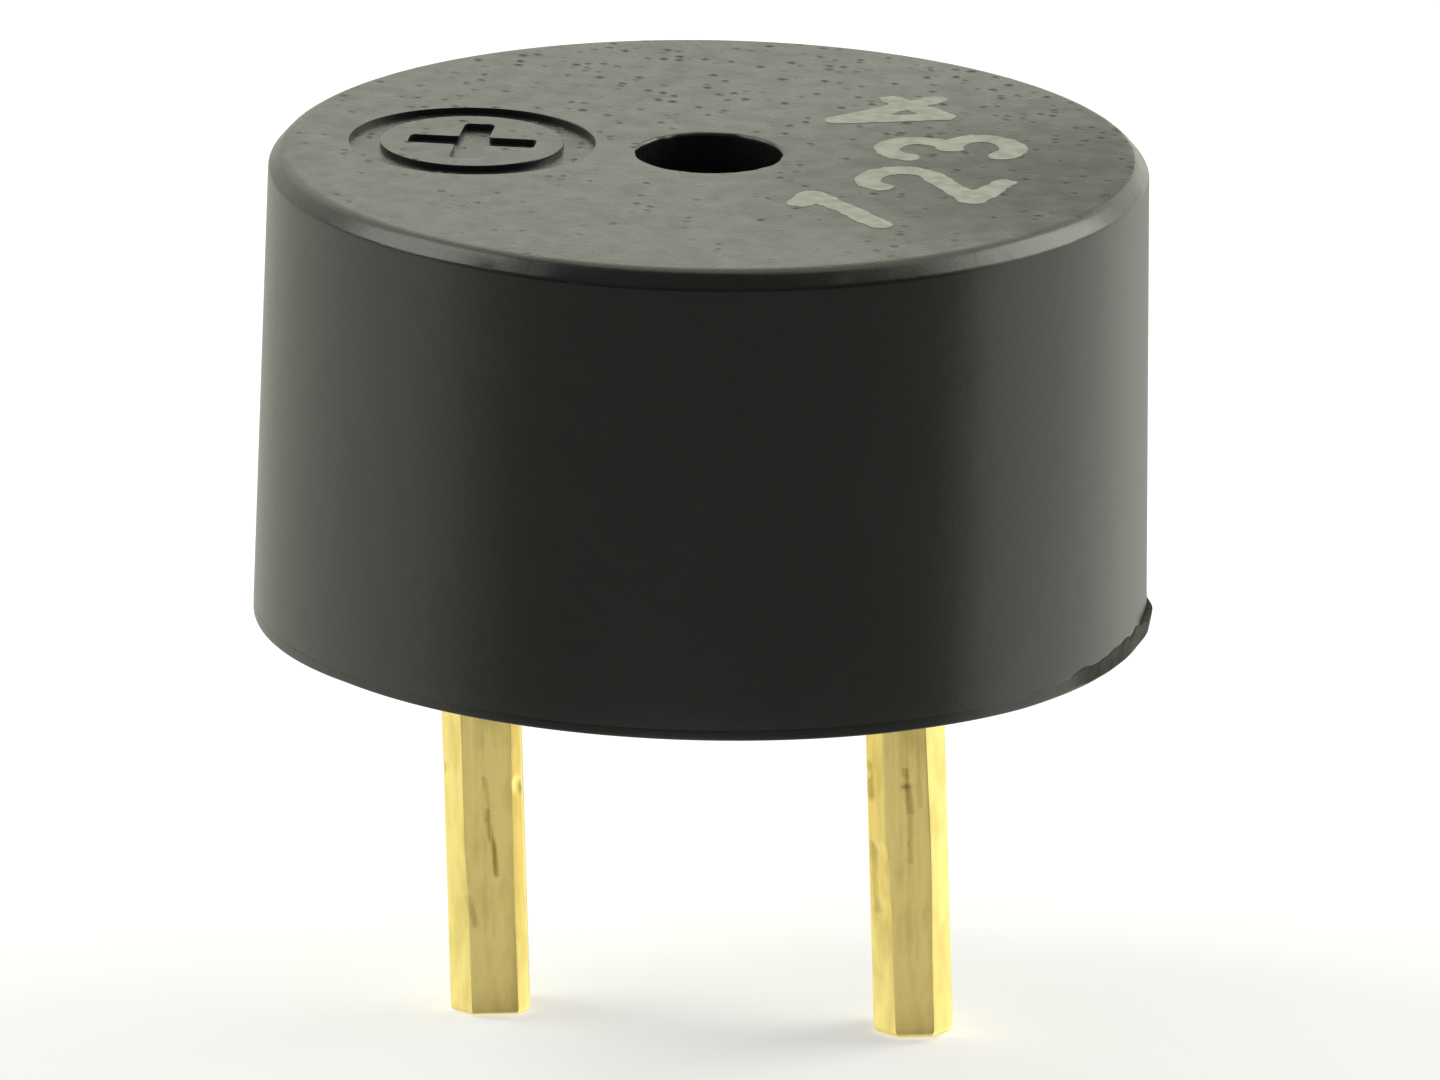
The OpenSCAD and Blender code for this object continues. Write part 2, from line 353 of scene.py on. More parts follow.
def tones(share, first, second):
    """Inputs of a colour mix. A colour is a hex text, linear values or a node's output."""
    first, second = (linear(c) if isinstance(c, str) else c for c in (first, second))
    return {0: share, MIX_A: first, MIX_B: second}


print("features of 0.1 mm need a scale of", per_mm(0.1), "and mid grey is", linear("#808080")[0])

# %% [markdown]
# ## Black PBT
# The case is moulded from PBT, a hard polyester filled with a little glass. Carbon black makes
# it nearly black, and what the eye sees is mostly sky and softbox mirrored in its skin.
# The wall left a polished cavity, so it is smooth. The top left a spark-eroded insert: its
# surface is a field of shallow craters, with some deeper pits where the glass pulled out.
# Both are the same plastic, so they share its colour and IOR and differ in their relief.

# %% Black PBT, smooth
PBT_IOR, PBT_SMOOTH = 1.52, 0.27
PBT_DARK, PBT_LIGHT, CLOUD_MM = "#131313", "#1b1b1b", 0.9


def pbt_colour(node, place):
    """Near-black with a faint clouding, as carbon black is never mixed perfectly."""
    cloud = node("TexNoise", grain(place, CLOUD_MM, 3.0))
    return node("Mix", tones(cloud, PBT_DARK, PBT_LIGHT), **COLOUR)


def smooth_pbt(name):
    """PBT from a polished cavity: a slow orange-peel swell and a few fine scuffs."""
    material, node, place = new_material(name)
    swell = node("TexNoise", grain(place, 0.7, 2.0))
    scuff = node("TexNoise", grain(place, 0.06, 4.0))
    height = node("Math", {0: swell, 1: 6.0}, operation="MULTIPLY")
    height = node("Math", {0: height, 1: scuff}, operation="ADD")
    return finish_material(material, node, {
        "Base Color": pbt_colour(node, place), "IOR": PBT_IOR,
        "Roughness": node("MapRange", span(scuff, 0, 1, PBT_SMOOTH - 0.04, PBT_SMOOTH + 0.06)),
        "Normal": node("Bump", {"Height": height, "Distance": 0.0012 * MM})})


case_wall_finish = smooth_pbt("black_PBT_smooth")

# %% Black PBT, spark-eroded
# Craters, mottling, the stray of the pits from an even grid, and the grid itself, in millimetres
CRATER, MOTTLE, STRAY, STRAY_BY, PIT_GRID = 0.06, 0.35, 0.12, 0.08, 0.19
# How much likelier a pit is per millimetre in each direction: they gather away from the mark
PIT_SPREAD = (0.014, 0.030, 0)
# The middle of the duller side, and how far it reaches in full and at all
DULL_PLACE, DULL_NEAR, DULL_FAR = (5.6, -0.7, 6.4), 0.6, 6.1


def sparked_pbt(name):
    """PBT from a spark-eroded insert: craters 0.06 mm wide, scattered pits, and a duller side."""
    material, node, place = new_material(name)
    crater = node("TexNoise", grain(place, CRATER, 5.0))
    mottle = node("TexNoise", grain(place, MOTTLE, 4.0))
    stray = node("TexNoise", grain(place, STRAY, 2.0), out="Color")
    shift = node("VectorMath", {0: stray, "Scale": STRAY_BY * MM}, operation="SCALE")
    strayed = node("VectorMath", {0: place, 1: shift}, operation="ADD")
    gap, lot = node("TexVoronoi", {"Vector": strayed, "Scale": per_mm(PIT_GRID)},
                    out=("Distance", "Color"))
    spread = node("VectorMath", {0: place, 1: Vector(PIT_SPREAD) / MM},
                  out="Value", operation="DOT_PRODUCT")
    draw = node("Math", {0: node("SeparateColor", {0: lot}), 1: spread}, operation="ADD")
    chosen = node("MapRange", span(draw, 0.66, 1))
    bowl = node("MapRange", span(gap, 0.03, 0.46, 1, 0), **SOFT_STEP)
    pit = node("Math", {0: chosen, 1: bowl}, operation="MULTIPLY")
    depth = node("Math", {0: pit, 1: -3.0}, operation="MULTIPLY")
    height = node("Math", {0: depth, 1: crater}, operation="ADD")
    dull_gap = node("VectorMath", {0: place, 1: Vector(DULL_PLACE) * MM},
                    out="Value", operation="DISTANCE")
    dull = node("MapRange", span(dull_gap, DULL_NEAR * MM, DULL_FAR * MM, 0.2, 0), **SOFT_STEP)
    rough = node("MapRange", span(mottle, 0.3, 0.7, 0.23, 0.34))
    rough = node("Math", {0: rough, 1: dull}, operation="ADD")
    return finish_material(material, node, {
        "Base Color": pbt_colour(node, place), "IOR": PBT_IOR,
        "Roughness": node("MapRange", span(pit, 0, 1, rough, 0.62)),
        "Normal": node("Bump", {"Height": height, "Distance": 0.008 * MM})})


case_top_finish = sparked_pbt("black_PBT_spark_eroded")

# %% [markdown]
# ## The case
# A cup with a hole in its roof, moulded in one shot. Its wall leans in by one degree so that it
# leaves the mould, and its top edge is broken by a soft bevel of about 0.2 mm, a little flatter
# than a true round. A cylinder primitive has neither, so the case is turned from its half
# section, inside and outside together.

# %% Turn the case
DRAFT = math.radians(1)
HOLE_R, CHAMBER_R, SYSTEM_R, SPIGOT_R = 0.98, 4.925, 5.2, 5.35
ROOF_Z, SHOULDER_Z = 5.7, 4.4
RIM_DROP, RIM_IN, RIM_SOFT, RIM_ROLL = 0.22, 0.185, 0.1, 0.21
TOP_CORNER_R = CASE_R - (BODY_H - FLANGE_T) * math.tan(DRAFT)


def wall_point(z):
    """A point of the drafted wall, to keep the work done near its ends from spreading over it."""
    return (CASE_R - (z - FLANGE_T) * math.tan(DRAFT), z, 0)


case_section = rounded([
    (CASE_R, FLANGE_T, 0.006), wall_point(FLANGE_T + 0.3), wall_point(BODY_H - RIM_DROP - 0.2),
    (*wall_point(BODY_H - RIM_DROP)[:2], RIM_SOFT),
    (TOP_CORNER_R - RIM_IN, BODY_H, RIM_ROLL), (TOP_CORNER_R - 0.6, BODY_H, 0),
    (HOLE_R + 0.2, BODY_H, 0), (HOLE_R, BODY_H, 0.05),
    (HOLE_R, ROOF_Z, 0.05), (CHAMBER_R, ROOF_Z, 0.2), (CHAMBER_R, SHOULDER_Z, 0.05),
    (SYSTEM_R, SHOULDER_Z, 0.05), (SYSTEM_R, BASE_TOP, 0.03), (SPIGOT_R, BASE_TOP, 0.03),
    (SPIGOT_R, FLANGE_T, 0.05)], steps=10)
case = lathe("case_shell", case_section, segments=320)
print("case section has", len(case_section), "points")

# %% [markdown]
# The foot of the wall isn't quite flat: on the right it stands off the base by a little over a
# tenth of a millimetre, where the weld didn't close. The top isn't quite parallel to it either.
# The top edge and the rim of the hole are a few microns uneven, which breaks their highlights
# the way a worn tool does.

# %% How far things stray
RELIEF_FROM, RELIEF_H, RELIEF_TURN = 4.3, 0.13, math.radians(8)
TOP_LIFT = 0.026


def relief(x, y):
    """How far the foot of the wall stands off the base at a place, in millimetres."""
    along = x * math.cos(RELIEF_TURN) + y * math.sin(RELIEF_TURN)
    return max(0.0, (along - RELIEF_FROM) / (CASE_R - RELIEF_FROM)) * RELIEF_H


def top_lift(x):
    """How much the top face stands above its mean height at a place, in millimetres."""
    return TOP_LIFT * x / CASE_R


def ripple(angle, seed, waves):
    """A smooth random curve round the circle, between about -1 and 1."""
    draw = np.random.default_rng(seed)
    size, phase = draw.normal(size=len(waves)), draw.uniform(0, 2 * math.pi, len(waves))
    total = sum(s * math.sin(w * angle + p) for s, p, w in zip(size, phase, waves))
    return float(total / math.sqrt(len(waves)))


def widen(vertex, factor):
    """Moves a vertex away from the Z axis by a factor."""
    vertex.co.x, vertex.co.y = vertex.co.x * factor, vertex.co.y * factor


print("foot lifted by up to", round(relief(CASE_R, 0), 3), "mm")

# %% Lift the foot, and roughen the edges
RIM_WAVES, HOLE_WAVES = range(9, 90, 5), range(3, 24, 2)
RIM_WEAR, HOLE_WEAR = 0.0003, 0.006
# Wear across the rim: a second set of waves, this strong, that turns this fast with height
CROSS_WEAR, CROSS_TURN = 0.6, 30
# How far the foot, the top, the rim and the edge of the hole reach, in millimetres
FOOT_H, TOP_H, RIM_MARGIN, HOLE_EDGE = 0.1, 0.3, 0.02, 0.06
for vertex in case.data.vertices:
    x, y, z = vertex.co / MM
    r, angle = math.hypot(x, y), math.atan2(y, x)
    if z < FLANGE_T + FOOT_H:
        vertex.co.z += relief(x, y) * MM
    if z > BODY_H - TOP_H:
        vertex.co.z += top_lift(x) * MM
    if r > TOP_CORNER_R - RIM_IN - RIM_MARGIN and z > BODY_H - RIM_DROP - RIM_MARGIN:
        across = ripple(z * CROSS_TURN + angle, 6, RIM_WAVES)
        widen(vertex, 1 - RIM_WEAR * max(0.0, ripple(angle, 5, RIM_WAVES) + CROSS_WEAR * across))
    if r < HOLE_R + HOLE_EDGE and z > BODY_H - HOLE_EDGE:
        widen(vertex, 1 + HOLE_WEAR * ripple(angle, 8, HOLE_WAVES))
print("rim now", round(max(v.co.x for v in case.data.vertices) / MM, 3), "mm from the middle")

# %% [markdown]
# The mark over the positive pin is a plus sign inside a round groove. Its cutters flare at the
# top, so the plastic is left with a small soft edge instead of a knife edge.

# %% Engrave the polarity mark
MARK_X = -3.2
# The floor of the mark is 0.11 mm down, and the top already lies a little low here
MARK_DEPTH = 0.11 + top_lift(MARK_X)
MARK_FLOOR = BODY_H - MARK_DEPTH
GROOVE_OUT, GROOVE_W = 1.65, 0.42
PLUS_HALF_L, PLUS_HALF_W = 0.85, 0.2
SOFT_EDGE = 0.03


def flare(steps=5):
    """(sideways growth, height) from the floor of a cut up, for a cutter with a soft top edge."""
    arc = [(SOFT_EDGE * (1 - math.cos(t)), MARK_DEPTH - SOFT_EDGE * (1 - math.sin(t)))
           for t in np.linspace(0, math.pi / 2, steps)]
    return [(g, MARK_FLOOR + h) for g, h in [(0.0, 0.0), *arc, (SOFT_EDGE, MARK_DEPTH + 0.3)]]


def plus_outline(grow, corner=0.07, steps=4):
    """The outline of a plus sign, grown sideways, with rounded ends and inner corners."""
    long, wide = PLUS_HALF_L + grow, PLUS_HALF_W + grow
    outer, inner = corner + grow, max(corner - grow, 0.01)
    arm = [(long, -wide, outer), (long, wide, outer), (wide, wide, inner)]
    quarters = [(1, 0), (0, 1), (-1, 0), (0, -1)]
    corners = [(x * c - y * s, x * s + y * c, r) for c, s in quarters for x, y, r in arm]
    return [(p.x, p.y) for p in rounded(corners, steps)]


def loft(name, outlines, heights, centre=(0, 0)):
    """A closed solid through outlines of equal length at rising heights."""
    vertices = [(x + centre[0], y + centre[1], z)
                for outline, z in zip(outlines, heights) for x, y in outline]
    return mesh_object(name, vertices, ring_faces(len(heights), len(outlines[0])))


groove_section = [(GROOVE_OUT + g, z) for g, z in flare()]
groove_section += [(GROOVE_OUT - GROOVE_W - g, z) for g, z in reversed(flare())]
groove_cutter = lathe("groove_cutter", groove_section, segments=128, centre=(MARK_X, 0))
plus_cutter = loft("plus_cutter", [plus_outline(g) for g, z in flare()],
                   [z for g, z in flare()], (MARK_X, 0))
cut(case, groove_cutter, plus_cutter)
print("case after engraving:", len(case.data.polygons), "faces")

# %% Two finishes on one moulding
# A face is part of the top when it looks up this steeply and lies no lower than the mark
LOOKS_UP = 0.9
case.data.materials.clear()
case.data.materials.append(case_wall_finish)
case.data.materials.append(case_top_finish)
for face in case.data.polygons:
    on_top = face.normal.z > LOOKS_UP and face.center.z > (MARK_FLOOR - 0.01) * MM
    face.material_index = int(on_top)
settle_normals(case)
install(case, HOUSING, "case", "case")

# %% [markdown]
# ## Laser-marked numbers
# A laser foams the skin of the plastic: each stroke is a slightly raised, dull grey ribbon with
# a ragged edge. A font would be too clean, so each number is a few strokes, and the ink is
# every point nearer to a stroke than half its width, plus a little noise. Marching squares
# turns that rule into one flat sheet, which is then thickened by a few microns.

# %% Strokes of the numbers
STROKE_W = 0.35
NUMBER_H, NUMBER_W = 1.7, 0.95
NUMBER_R = 3.25


def arc_points(cx, cy, rx, ry, start, end, steps=18):
    """Points on an elliptic arc, with angles in degrees."""
    return [(cx + rx * math.cos(math.radians(a)), cy + ry * math.sin(math.radians(a)))
            for a in np.linspace(start, end, steps)]


NUMBER_STROKES = {
    "1": [[(-0.28, 0.55), (0.08, 0.85), (0.08, -0.85)]],
    "2": [arc_points(0, 0.4, 0.47, 0.45, 165, -35) + [(-0.47, -0.85), (0.5, -0.85)]],
    "3": [arc_points(-0.02, 0.42, 0.42, 0.43, 150, -90),
          arc_points(-0.02, -0.43, 0.47, 0.42, 90, -150)],
    "4": [[(0.2, -0.85), (0.2, 0.85), (-0.5, -0.4), (0.52, -0.4)]],
}
# Each number stands towards the hole, and turns with its place round the top, in degrees
NUMBER_PLACES = {"1": -50, "2": -18, "3": 14, "4": 47}
print("strokes for", ", ".join(NUMBER_STROKES))

# %% Distance and noise
NOISE_TABLE = 64


def distance_to_strokes(x, y, strokes):
    """Distance of every grid point to the nearest stroke."""
    nearest = np.full(x.shape, np.inf)
    for stroke in strokes:
        for (ax, ay), (bx, by) in zip(stroke, stroke[1:]):
            dx, dy = bx - ax, by - ay
            t = np.clip(((x - ax) * dx + (y - ay) * dy) / (dx * dx + dy * dy), 0, 1)
            nearest = np.minimum(nearest, np.hypot(x - ax - t * dx, y - ay - t * dy))
    return nearest


def smooth_noise(x, y, size, seed):
    """Value noise between -1 and 1 whose blobs are of the given size."""
    table = np.random.default_rng(seed).uniform(-1, 1, (NOISE_TABLE, NOISE_TABLE))
    u, v = x / size, y / size
    i, j = np.floor(u).astype(int), np.floor(v).astype(int)
    f, g = u - i, v - j
    f, g = f * f * (3 - 2 * f), g * g * (3 - 2 * g)
    a, b, c, d = (table[(i + m) % NOISE_TABLE, (j + n) % NOISE_TABLE]
                  for m, n in ((0, 0), (1, 0), (0, 1), (1, 1)))
    return (a * (1 - f) + b * f) * (1 - g) + (c * (1 - f) + d * f) * g


print("noise starts", smooth_noise(np.arange(3) / 2, np.zeros(3), 1, 7).round(2))

# %% Marching squares: keep what is inside, and cut each cell where the edge crosses it
GRID_MM = 0.03


def inside_sheet(field, x, y):
    """Vertices and faces of the region where field is below zero, on a regular grid."""
    vertices, index, faces = [], {}, []

    def point(*corners):
        """The number of a corner's vertex, or of the one where the edge crosses between two."""
        key = tuple(sorted(corners))
        if key not in index:
            a, b = corners[0], corners[-1]
            t = 0 if a == b else field[a] / (field[a] - field[b])
            index[key] = len(vertices)
            vertices.append((x[a] + t * (x[b] - x[a]), y[a] + t * (y[b] - y[a])))
        return index[key]

    for i in range(field.shape[0] - 1):
        for j in range(field.shape[1] - 1):
            around = [(i, j), (i + 1, j), (i + 1, j + 1), (i, j + 1)]
            face = []
            for here, after in zip(around, around[1:] + around[:1]):
                if field[here] < 0:
                    face.append(point(here))
                if (field[here] < 0) != (field[after] < 0):
                    face.append(point(here, after))
            if len(face) > 2:
                faces.append(face)
    return vertices, faces


grid_x, grid_y = np.meshgrid(np.arange(3.0), np.arange(3.0), indexing="ij")
half_sheet = inside_sheet(grid_x - 1.5, grid_x, grid_y)
print("a grid of 2 by 2 cells, cut across, keeps", len(half_sheet[1]), "faces")

# %% Laser-mark material
def laser_mark(name):
    """Foamed plastic: dull grey, patchy where the beam's lines missed the bottom of the grain."""
    material, node, place = new_material(name)
    patch = node("TexNoise", grain(place, 0.22, 4.0))
    fine = node("TexNoise", grain(place, 0.05, 3.0))
    cover = node("MapRange", span(patch, 0.35, 0.6, 0.45))
    return finish_material(material, node, {
        "Base Color": node("Mix", tones(cover, "#7b7b71", "#adada1"), **COLOUR),
        "Roughness": 0.6, "IOR": PBT_IOR,
        "Normal": node("Bump", {"Height": fine, "Distance": 0.005 * MM})})


mark_finish = laser_mark("laser_foamed_PBT")

# %% Write the numbers
MARK_RISE, MARK_ROOT = 0.004, 0.01
# The edge strays by a fine and by a slow noise, each with its depth and its size
FINE_DEPTH, FINE_SIZE, SLOW_DEPTH, SLOW_SIZE, SLOW_SEED = 0.022, 0.09, 0.03, 0.3, 7


def number_piece(figure, degrees):
    """One number as a thin ragged ribbon, at its place on the top."""
    half_w, half_h = NUMBER_W / 2 + STROKE_W, NUMBER_H / 2 + STROKE_W
    x, y = np.meshgrid(np.arange(-half_w, half_w, GRID_MM),
                       np.arange(-half_h, half_h, GRID_MM), indexing="ij")
    ragged = (FINE_DEPTH * smooth_noise(x + 9, y + 9, FINE_SIZE, ord(figure))
              + SLOW_DEPTH * smooth_noise(x + 5, y, SLOW_SIZE, SLOW_SEED))
    field = distance_to_strokes(x, y, NUMBER_STROKES[figure]) - STROKE_W / 2 + ragged
    flat, faces = inside_sheet(field, x, y)
    turn = math.radians(degrees)
    away = Vector((math.cos(turn), math.sin(turn)))
    along = Vector((-away.y, away.x))
    spots = [away * (NUMBER_R - v) + along * u for u, v in flat]
    n = len(spots)
    vertices = [(p.x, p.y, BODY_H + top_lift(p.x) + rise)
                for rise in (MARK_RISE, -MARK_ROOT) for p in spots]
    # An edge that only one face has is part of the outline, and gets a side
    edges = dict.fromkeys((a, b) for face in faces for a, b in zip(face, face[1:] + face[:1]))
    sides = [[a, b, b + n, a + n] for a, b in edges if (b, a) not in edges]
    under = [[v + n for v in reversed(face)] for face in faces]
    piece = mesh_object("number_" + figure, vertices, faces + under + sides, mark_finish)
    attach(piece, HOUSING)
    print(piece.name, "with", len(faces), "cells")


for figure, degrees in NUMBER_PLACES.items():
    number_piece(figure, degrees)

# %% [markdown]
# ## The base
# A disc that plugs the case from below. On the right a flash was squeezed out when it was welded
# to the case: a torn skin that leans against the foot of the wall, and a bulge of 0.09 mm at its
# end. A lathe gives the round form, and its outer rings are then pushed out to the real outline.

# %% Flange outline
FLASH_OUT, FLASH_TURN, FLASH_WIDE, FLASH_POWER = 0.088, math.radians(2), math.radians(7), 1.3
# Thickness of the torn skin, and how much it wavers
SKIN_T, SKIN_WAVER = 0.008, 0.6
# The skin is torn where the wall's foot stands this high, and fully so this much higher
TEAR_LIFT, TEAR_FULL = 0.02, 0.03
FLASH_WAVES = range(11, 90, 6)


def torn(x, y):
    """How much torn skin there is at a place: 0 where the weld closed, 1 where it is open."""
    return min(max(relief(x, y) - TEAR_LIFT, 0) / TEAR_FULL, 1)


def bulge(angle):
    """How far the flash stands out of the wall."""
    turn = min(abs(angle - FLASH_TURN) / FLASH_WIDE, 1)
    return FLASH_OUT * math.cos(turn * math.pi / 2) ** FLASH_POWER


def flange_radius(angle):
    """Outer radius of the flange: the case's circle, the torn skin and the bulge at its end."""
    skin = torn(CASE_R * math.cos(angle), CASE_R * math.sin(angle))
    waver = 1 + SKIN_WAVER * ripple(angle, 3, FLASH_WAVES)
    return CASE_R + skin * SKIN_T * waver + bulge(angle)


print("flange reaches", round(flange_radius(FLASH_TURN), 3), "mm")

# %% Turn the base
SPIGOT_FIT = 0.02
SHELF_R, LEAN_R = CASE_R - 0.03, CASE_R - 0.02
base_section = rounded([
    (0, BASE_TOP, 0), (SPIGOT_R - SPIGOT_FIT, BASE_TOP, 0.06),
    (SPIGOT_R - SPIGOT_FIT, FLANGE_T, 0), (CASE_R - 0.1, FLANGE_T, 0), (SHELF_R, FLANGE_T, 0),
    (LEAN_R, FLANGE_T, 0), (CASE_R, FLANGE_T, 0.006),
    (CASE_R, 0.05, 0), (CASE_R, 0, 0.03), (RECESS_R, 0, 0.05),
    (RECESS_R, RECESS_DEPTH, 0.03), (0, RECESS_DEPTH, 0)], steps=5)
base = lathe("base_plate", base_section, segments=360)
print("base section has", len(base_section), "points")

# %% Push its rim out
# Rings of vertices are told apart by their radius, to within this distance
RING_FIT = 0.005
# How far the two inner rings of the skin come out past the foot of the wall
SHELF_OUT, LEAN_OUT = 0.001, 0.004
# The rim of the base follows the foot of the wall, and stays this far below it
BELOW_FOOT = 0.004
# The skin climbs the wall by this much, in waves about this share of it
FLASH_CLIMB, CLIMB_MEAN, CLIMB_WAVE = 0.035, 0.8, 0.7
# Below this height the bulge is undercut: its share there, and how fast it grows with height
UNDERCUT_Z, UNDERCUT_LOW, UNDERCUT_RISE = 0.08, 0.3, 5
# How far the underside of the flange hangs below the seat, at shares of the radius from the left
DROOP_PLACES = (-1, -0.85, -0.7, -0.3, 0.3, 0.6, 0.8, 0.95, 1)
DROOP = (0.045, 0.02, -0.015, -0.01, 0.01, 0.02, 0.035, 0.015, 0.01)

for vertex in base.data.vertices:
    x, y, z = vertex.co / MM
    r, angle = math.hypot(x, y), math.atan2(y, x)
    above, rise = z > FLANGE_T / 2, max(relief(x, y) - BELOW_FOOT, 0)
    if r > SHELF_R - RING_FIT:
        skin, climb = torn(x, y), 0.0
        waves = max(0.0, CLIMB_MEAN + CLIMB_WAVE * ripple(angle, 4, FLASH_WAVES))
        lift = FLASH_CLIMB * skin * waves * (1 - bulge(angle) / FLASH_OUT)
        if above and r < SHELF_R + RING_FIT:
            new_r = r + skin * (CASE_R + SHELF_OUT - SHELF_R)
        elif above and r < LEAN_R + RING_FIT:
            new_r, climb = r + skin * (CASE_R + LEAN_OUT - LEAN_R), lift
        else:
            undercut = 1 if z > UNDERCUT_Z else UNDERCUT_LOW + UNDERCUT_RISE * z
            new_r, climb = r + (flange_radius(angle) - CASE_R) * undercut, 0.5 * lift
        widen(vertex, new_r / r)
        rise = rise + climb if above else -np.interp(x / CASE_R, DROOP_PLACES, DROOP)
        vertex.co.z += rise * MM
    elif r > SPIGOT_R and above:
        vertex.co.z += rise * MM
top = max(vertex.co.z for vertex in base.data.vertices if vertex.co.x / MM > SPIGOT_R)
print("flash climbs to", round(top / MM, 3), "mm")

# %% Torn flash
TEAR_WAY = (math.cos(RELIEF_TURN), math.sin(RELIEF_TURN), 0)
TEAR_START, TEAR_END = 4.8, 5.15
# The torn finish is on the outer faces above this height, where this much of the skin is torn
TORN_FROM_Z, TORN_FROM = 0.02, 0.1


def torn_pbt(name):
    """Plastic that was squeezed out and torn off: little gloss is left on it, in patches."""
    material, node, place = new_material(name)
    fibre = node("TexNoise", grain(place, 0.09, 3.0))
    patch = node("TexNoise", grain(place, 0.7, 2.0))
    # The tear begins where the weld stops, and whitens a little where the plastic was stretched
    along = node("VectorMath", {0: place, 1: TEAR_WAY}, out="Value", operation="DOT_PRODUCT")
    begun = node("MapRange", span(along, TEAR_START * MM, TEAR_END * MM))
    stretched = node("MapRange", span(patch, 0.5, 0.66))
    tone = node("Mix", tones(stretched, "#0f0f0d", "#46463e"), **COLOUR)
    torn_rough = node("MapRange", span(fibre, 0, 1, 0.8, 0.95))
    return finish_material(material, node, {
        "Base Color": node("Mix", tones(begun, pbt_colour(node, place), tone), **COLOUR),
        "Roughness": node("Mix", {0: begun, 2: PBT_SMOOTH, 3: torn_rough}), "IOR": PBT_IOR,
        "Normal": node("Bump", {"Height": fibre, "Strength": begun, "Distance": 0.012 * MM})})


base.data.materials.append(case_wall_finish)
base.data.materials.append(torn_pbt("black_PBT_torn_flash"))
for face in base.data.polygons:
    x, y, z = face.center / MM
    outer = math.hypot(x, y) > SHELF_R - RING_FIT and z > TORN_FROM_Z
    face.material_index = int(outer and torn(x, y) > TORN_FROM)

# %% [markdown]
# ## The pins
# Square bar with its corners broken, gold over nickel over brass, pressed through the base.
# The corners were broken by hand or by a worn die: each bevel wanders as it goes down, and the
# gold is dented and scratched where the pins were gripped. So a pin is built ring by ring. Each
# ring is an eight-sided outline whose bevels are looked up for that height, and the dents are
# pressed in afterwards.

# %% Where a pin stands
# The positive pin stands on the negative side of X
POSITIVE, NEGATIVE = -1, 1
SIDES = {POSITIVE: "positive", NEGATIVE: "negative"}
PIN_W, PIN_BEVEL = 1.06, 0.22
PIN_SHORT = 0.02
PIN_OUT, HEAD_Z = -PIN_TIP_Z - PIN_SHORT, PIN_HEAD_Z - PIN_SHORT
PIN_PITCH = 5.75
PIN_LEAN, PIN_TURN = math.radians(2.7), math.radians(7)


def pin_place(side):
    """The matrix that puts a pin, made upright round the Z axis, in its place on a side."""
    middle = Vector((0, 0, PIN_OUT / 2)) * MM
    return (Matrix.Translation(Vector((side * PIN_PITCH / 2 * MM, 0, 0)) - middle)
            @ Matrix.Rotation(-PIN_LEAN, 4, "Y") @ Matrix.Translation(middle)
            @ Matrix.Rotation(PIN_TURN, 4, "Z"))


print("pins reach", PIN_OUT, "mm down and", round(HEAD_Z, 3), "mm up")

# %% Bevels of each corner, down the pin
# (height, front left, front right, back right, back left): the bevel's width at that height
BEVELS = {
    POSITIVE: [
        (1.2, 0.22, 0.16, 0.20, 0.24), (0.0, 0.24, 0.15, 0.20, 0.24),
        (-1.8, 0.26, 0.14, 0.22, 0.22), (-3.4, 0.26, 0.16, 0.21, 0.23),
        (-4.0, 0.29, 0.16, 0.22, 0.22), (-5.7, 0.29, 0.15, 0.22, 0.24)],
    NEGATIVE: [
        (1.2, 0.24, 0.24, 0.22, 0.20), (-1.2, 0.23, 0.26, 0.21, 0.22),
        (-2.9, 0.23, 0.23, 0.22, 0.20), (-3.3, 0.28, 0.23, 0.24, 0.22),
        (-4.6, 0.29, 0.25, 0.22, 0.21), (-5.7, 0.30, 0.25, 0.22, 0.24)],
}


def bevels_at(side, z):
    """The four bevel widths at a height, between the rows of a table."""
    heights, *corners = zip(*reversed(BEVELS[side]))
    return [float(np.interp(z, heights, widths)) for widths in corners]


print("positive pin halfway down:", [round(b, 3) for b in bevels_at(POSITIVE, -2.8)])

# %% One ring of a pin
EDGE_SOFT, EDGE_STEPS = 0.03, 3
SIDE_CELLS, BEVEL_CELLS = 10, 4
# A bevel narrows by this share of what the ring shrinks, but not below this width
BEVEL_SHRINK, BEVEL_MIN = 0.6, 0.05


def pin_ring(bevels, shrink, corner=EDGE_SOFT):
    """An eight-sided outline with soft edges, and a fixed number of points."""
    half = PIN_W / 2 - shrink
    fl, fr, br, bl = [max(b - BEVEL_SHRINK * shrink, BEVEL_MIN) for b in bevels]
    eight = rounded([
        (-half + fl, -half, corner), (half - fr, -half, corner), (half, -half + fr, corner),
        (half, half - br, corner), (half - br, half, corner), (-half + bl, half, corner),
        (-half, half - bl, corner), (-half, -half + fl, corner)], steps=EDGE_STEPS)
    points, arc = [], EDGE_STEPS + 1
    for i in range(0, len(eight), arc):
        group, following = eight[i:i + arc], eight[(i + arc) % len(eight)]
        cells = SIDE_CELLS if i // arc % 2 == 0 else BEVEL_CELLS
        points += group + [group[-1].lerp(following, k / cells) for k in range(1, cells)]
    return points


print("one ring has", len(pin_ring(bevels_at(POSITIVE, 0), 0)), "points")

# %% Build a pin
RING_STEP = 0.045
# The rounded tip starts a little way up its arc, so that it ends in a small flat
TIP_FROM, TIP_STEPS = 0.25, 6


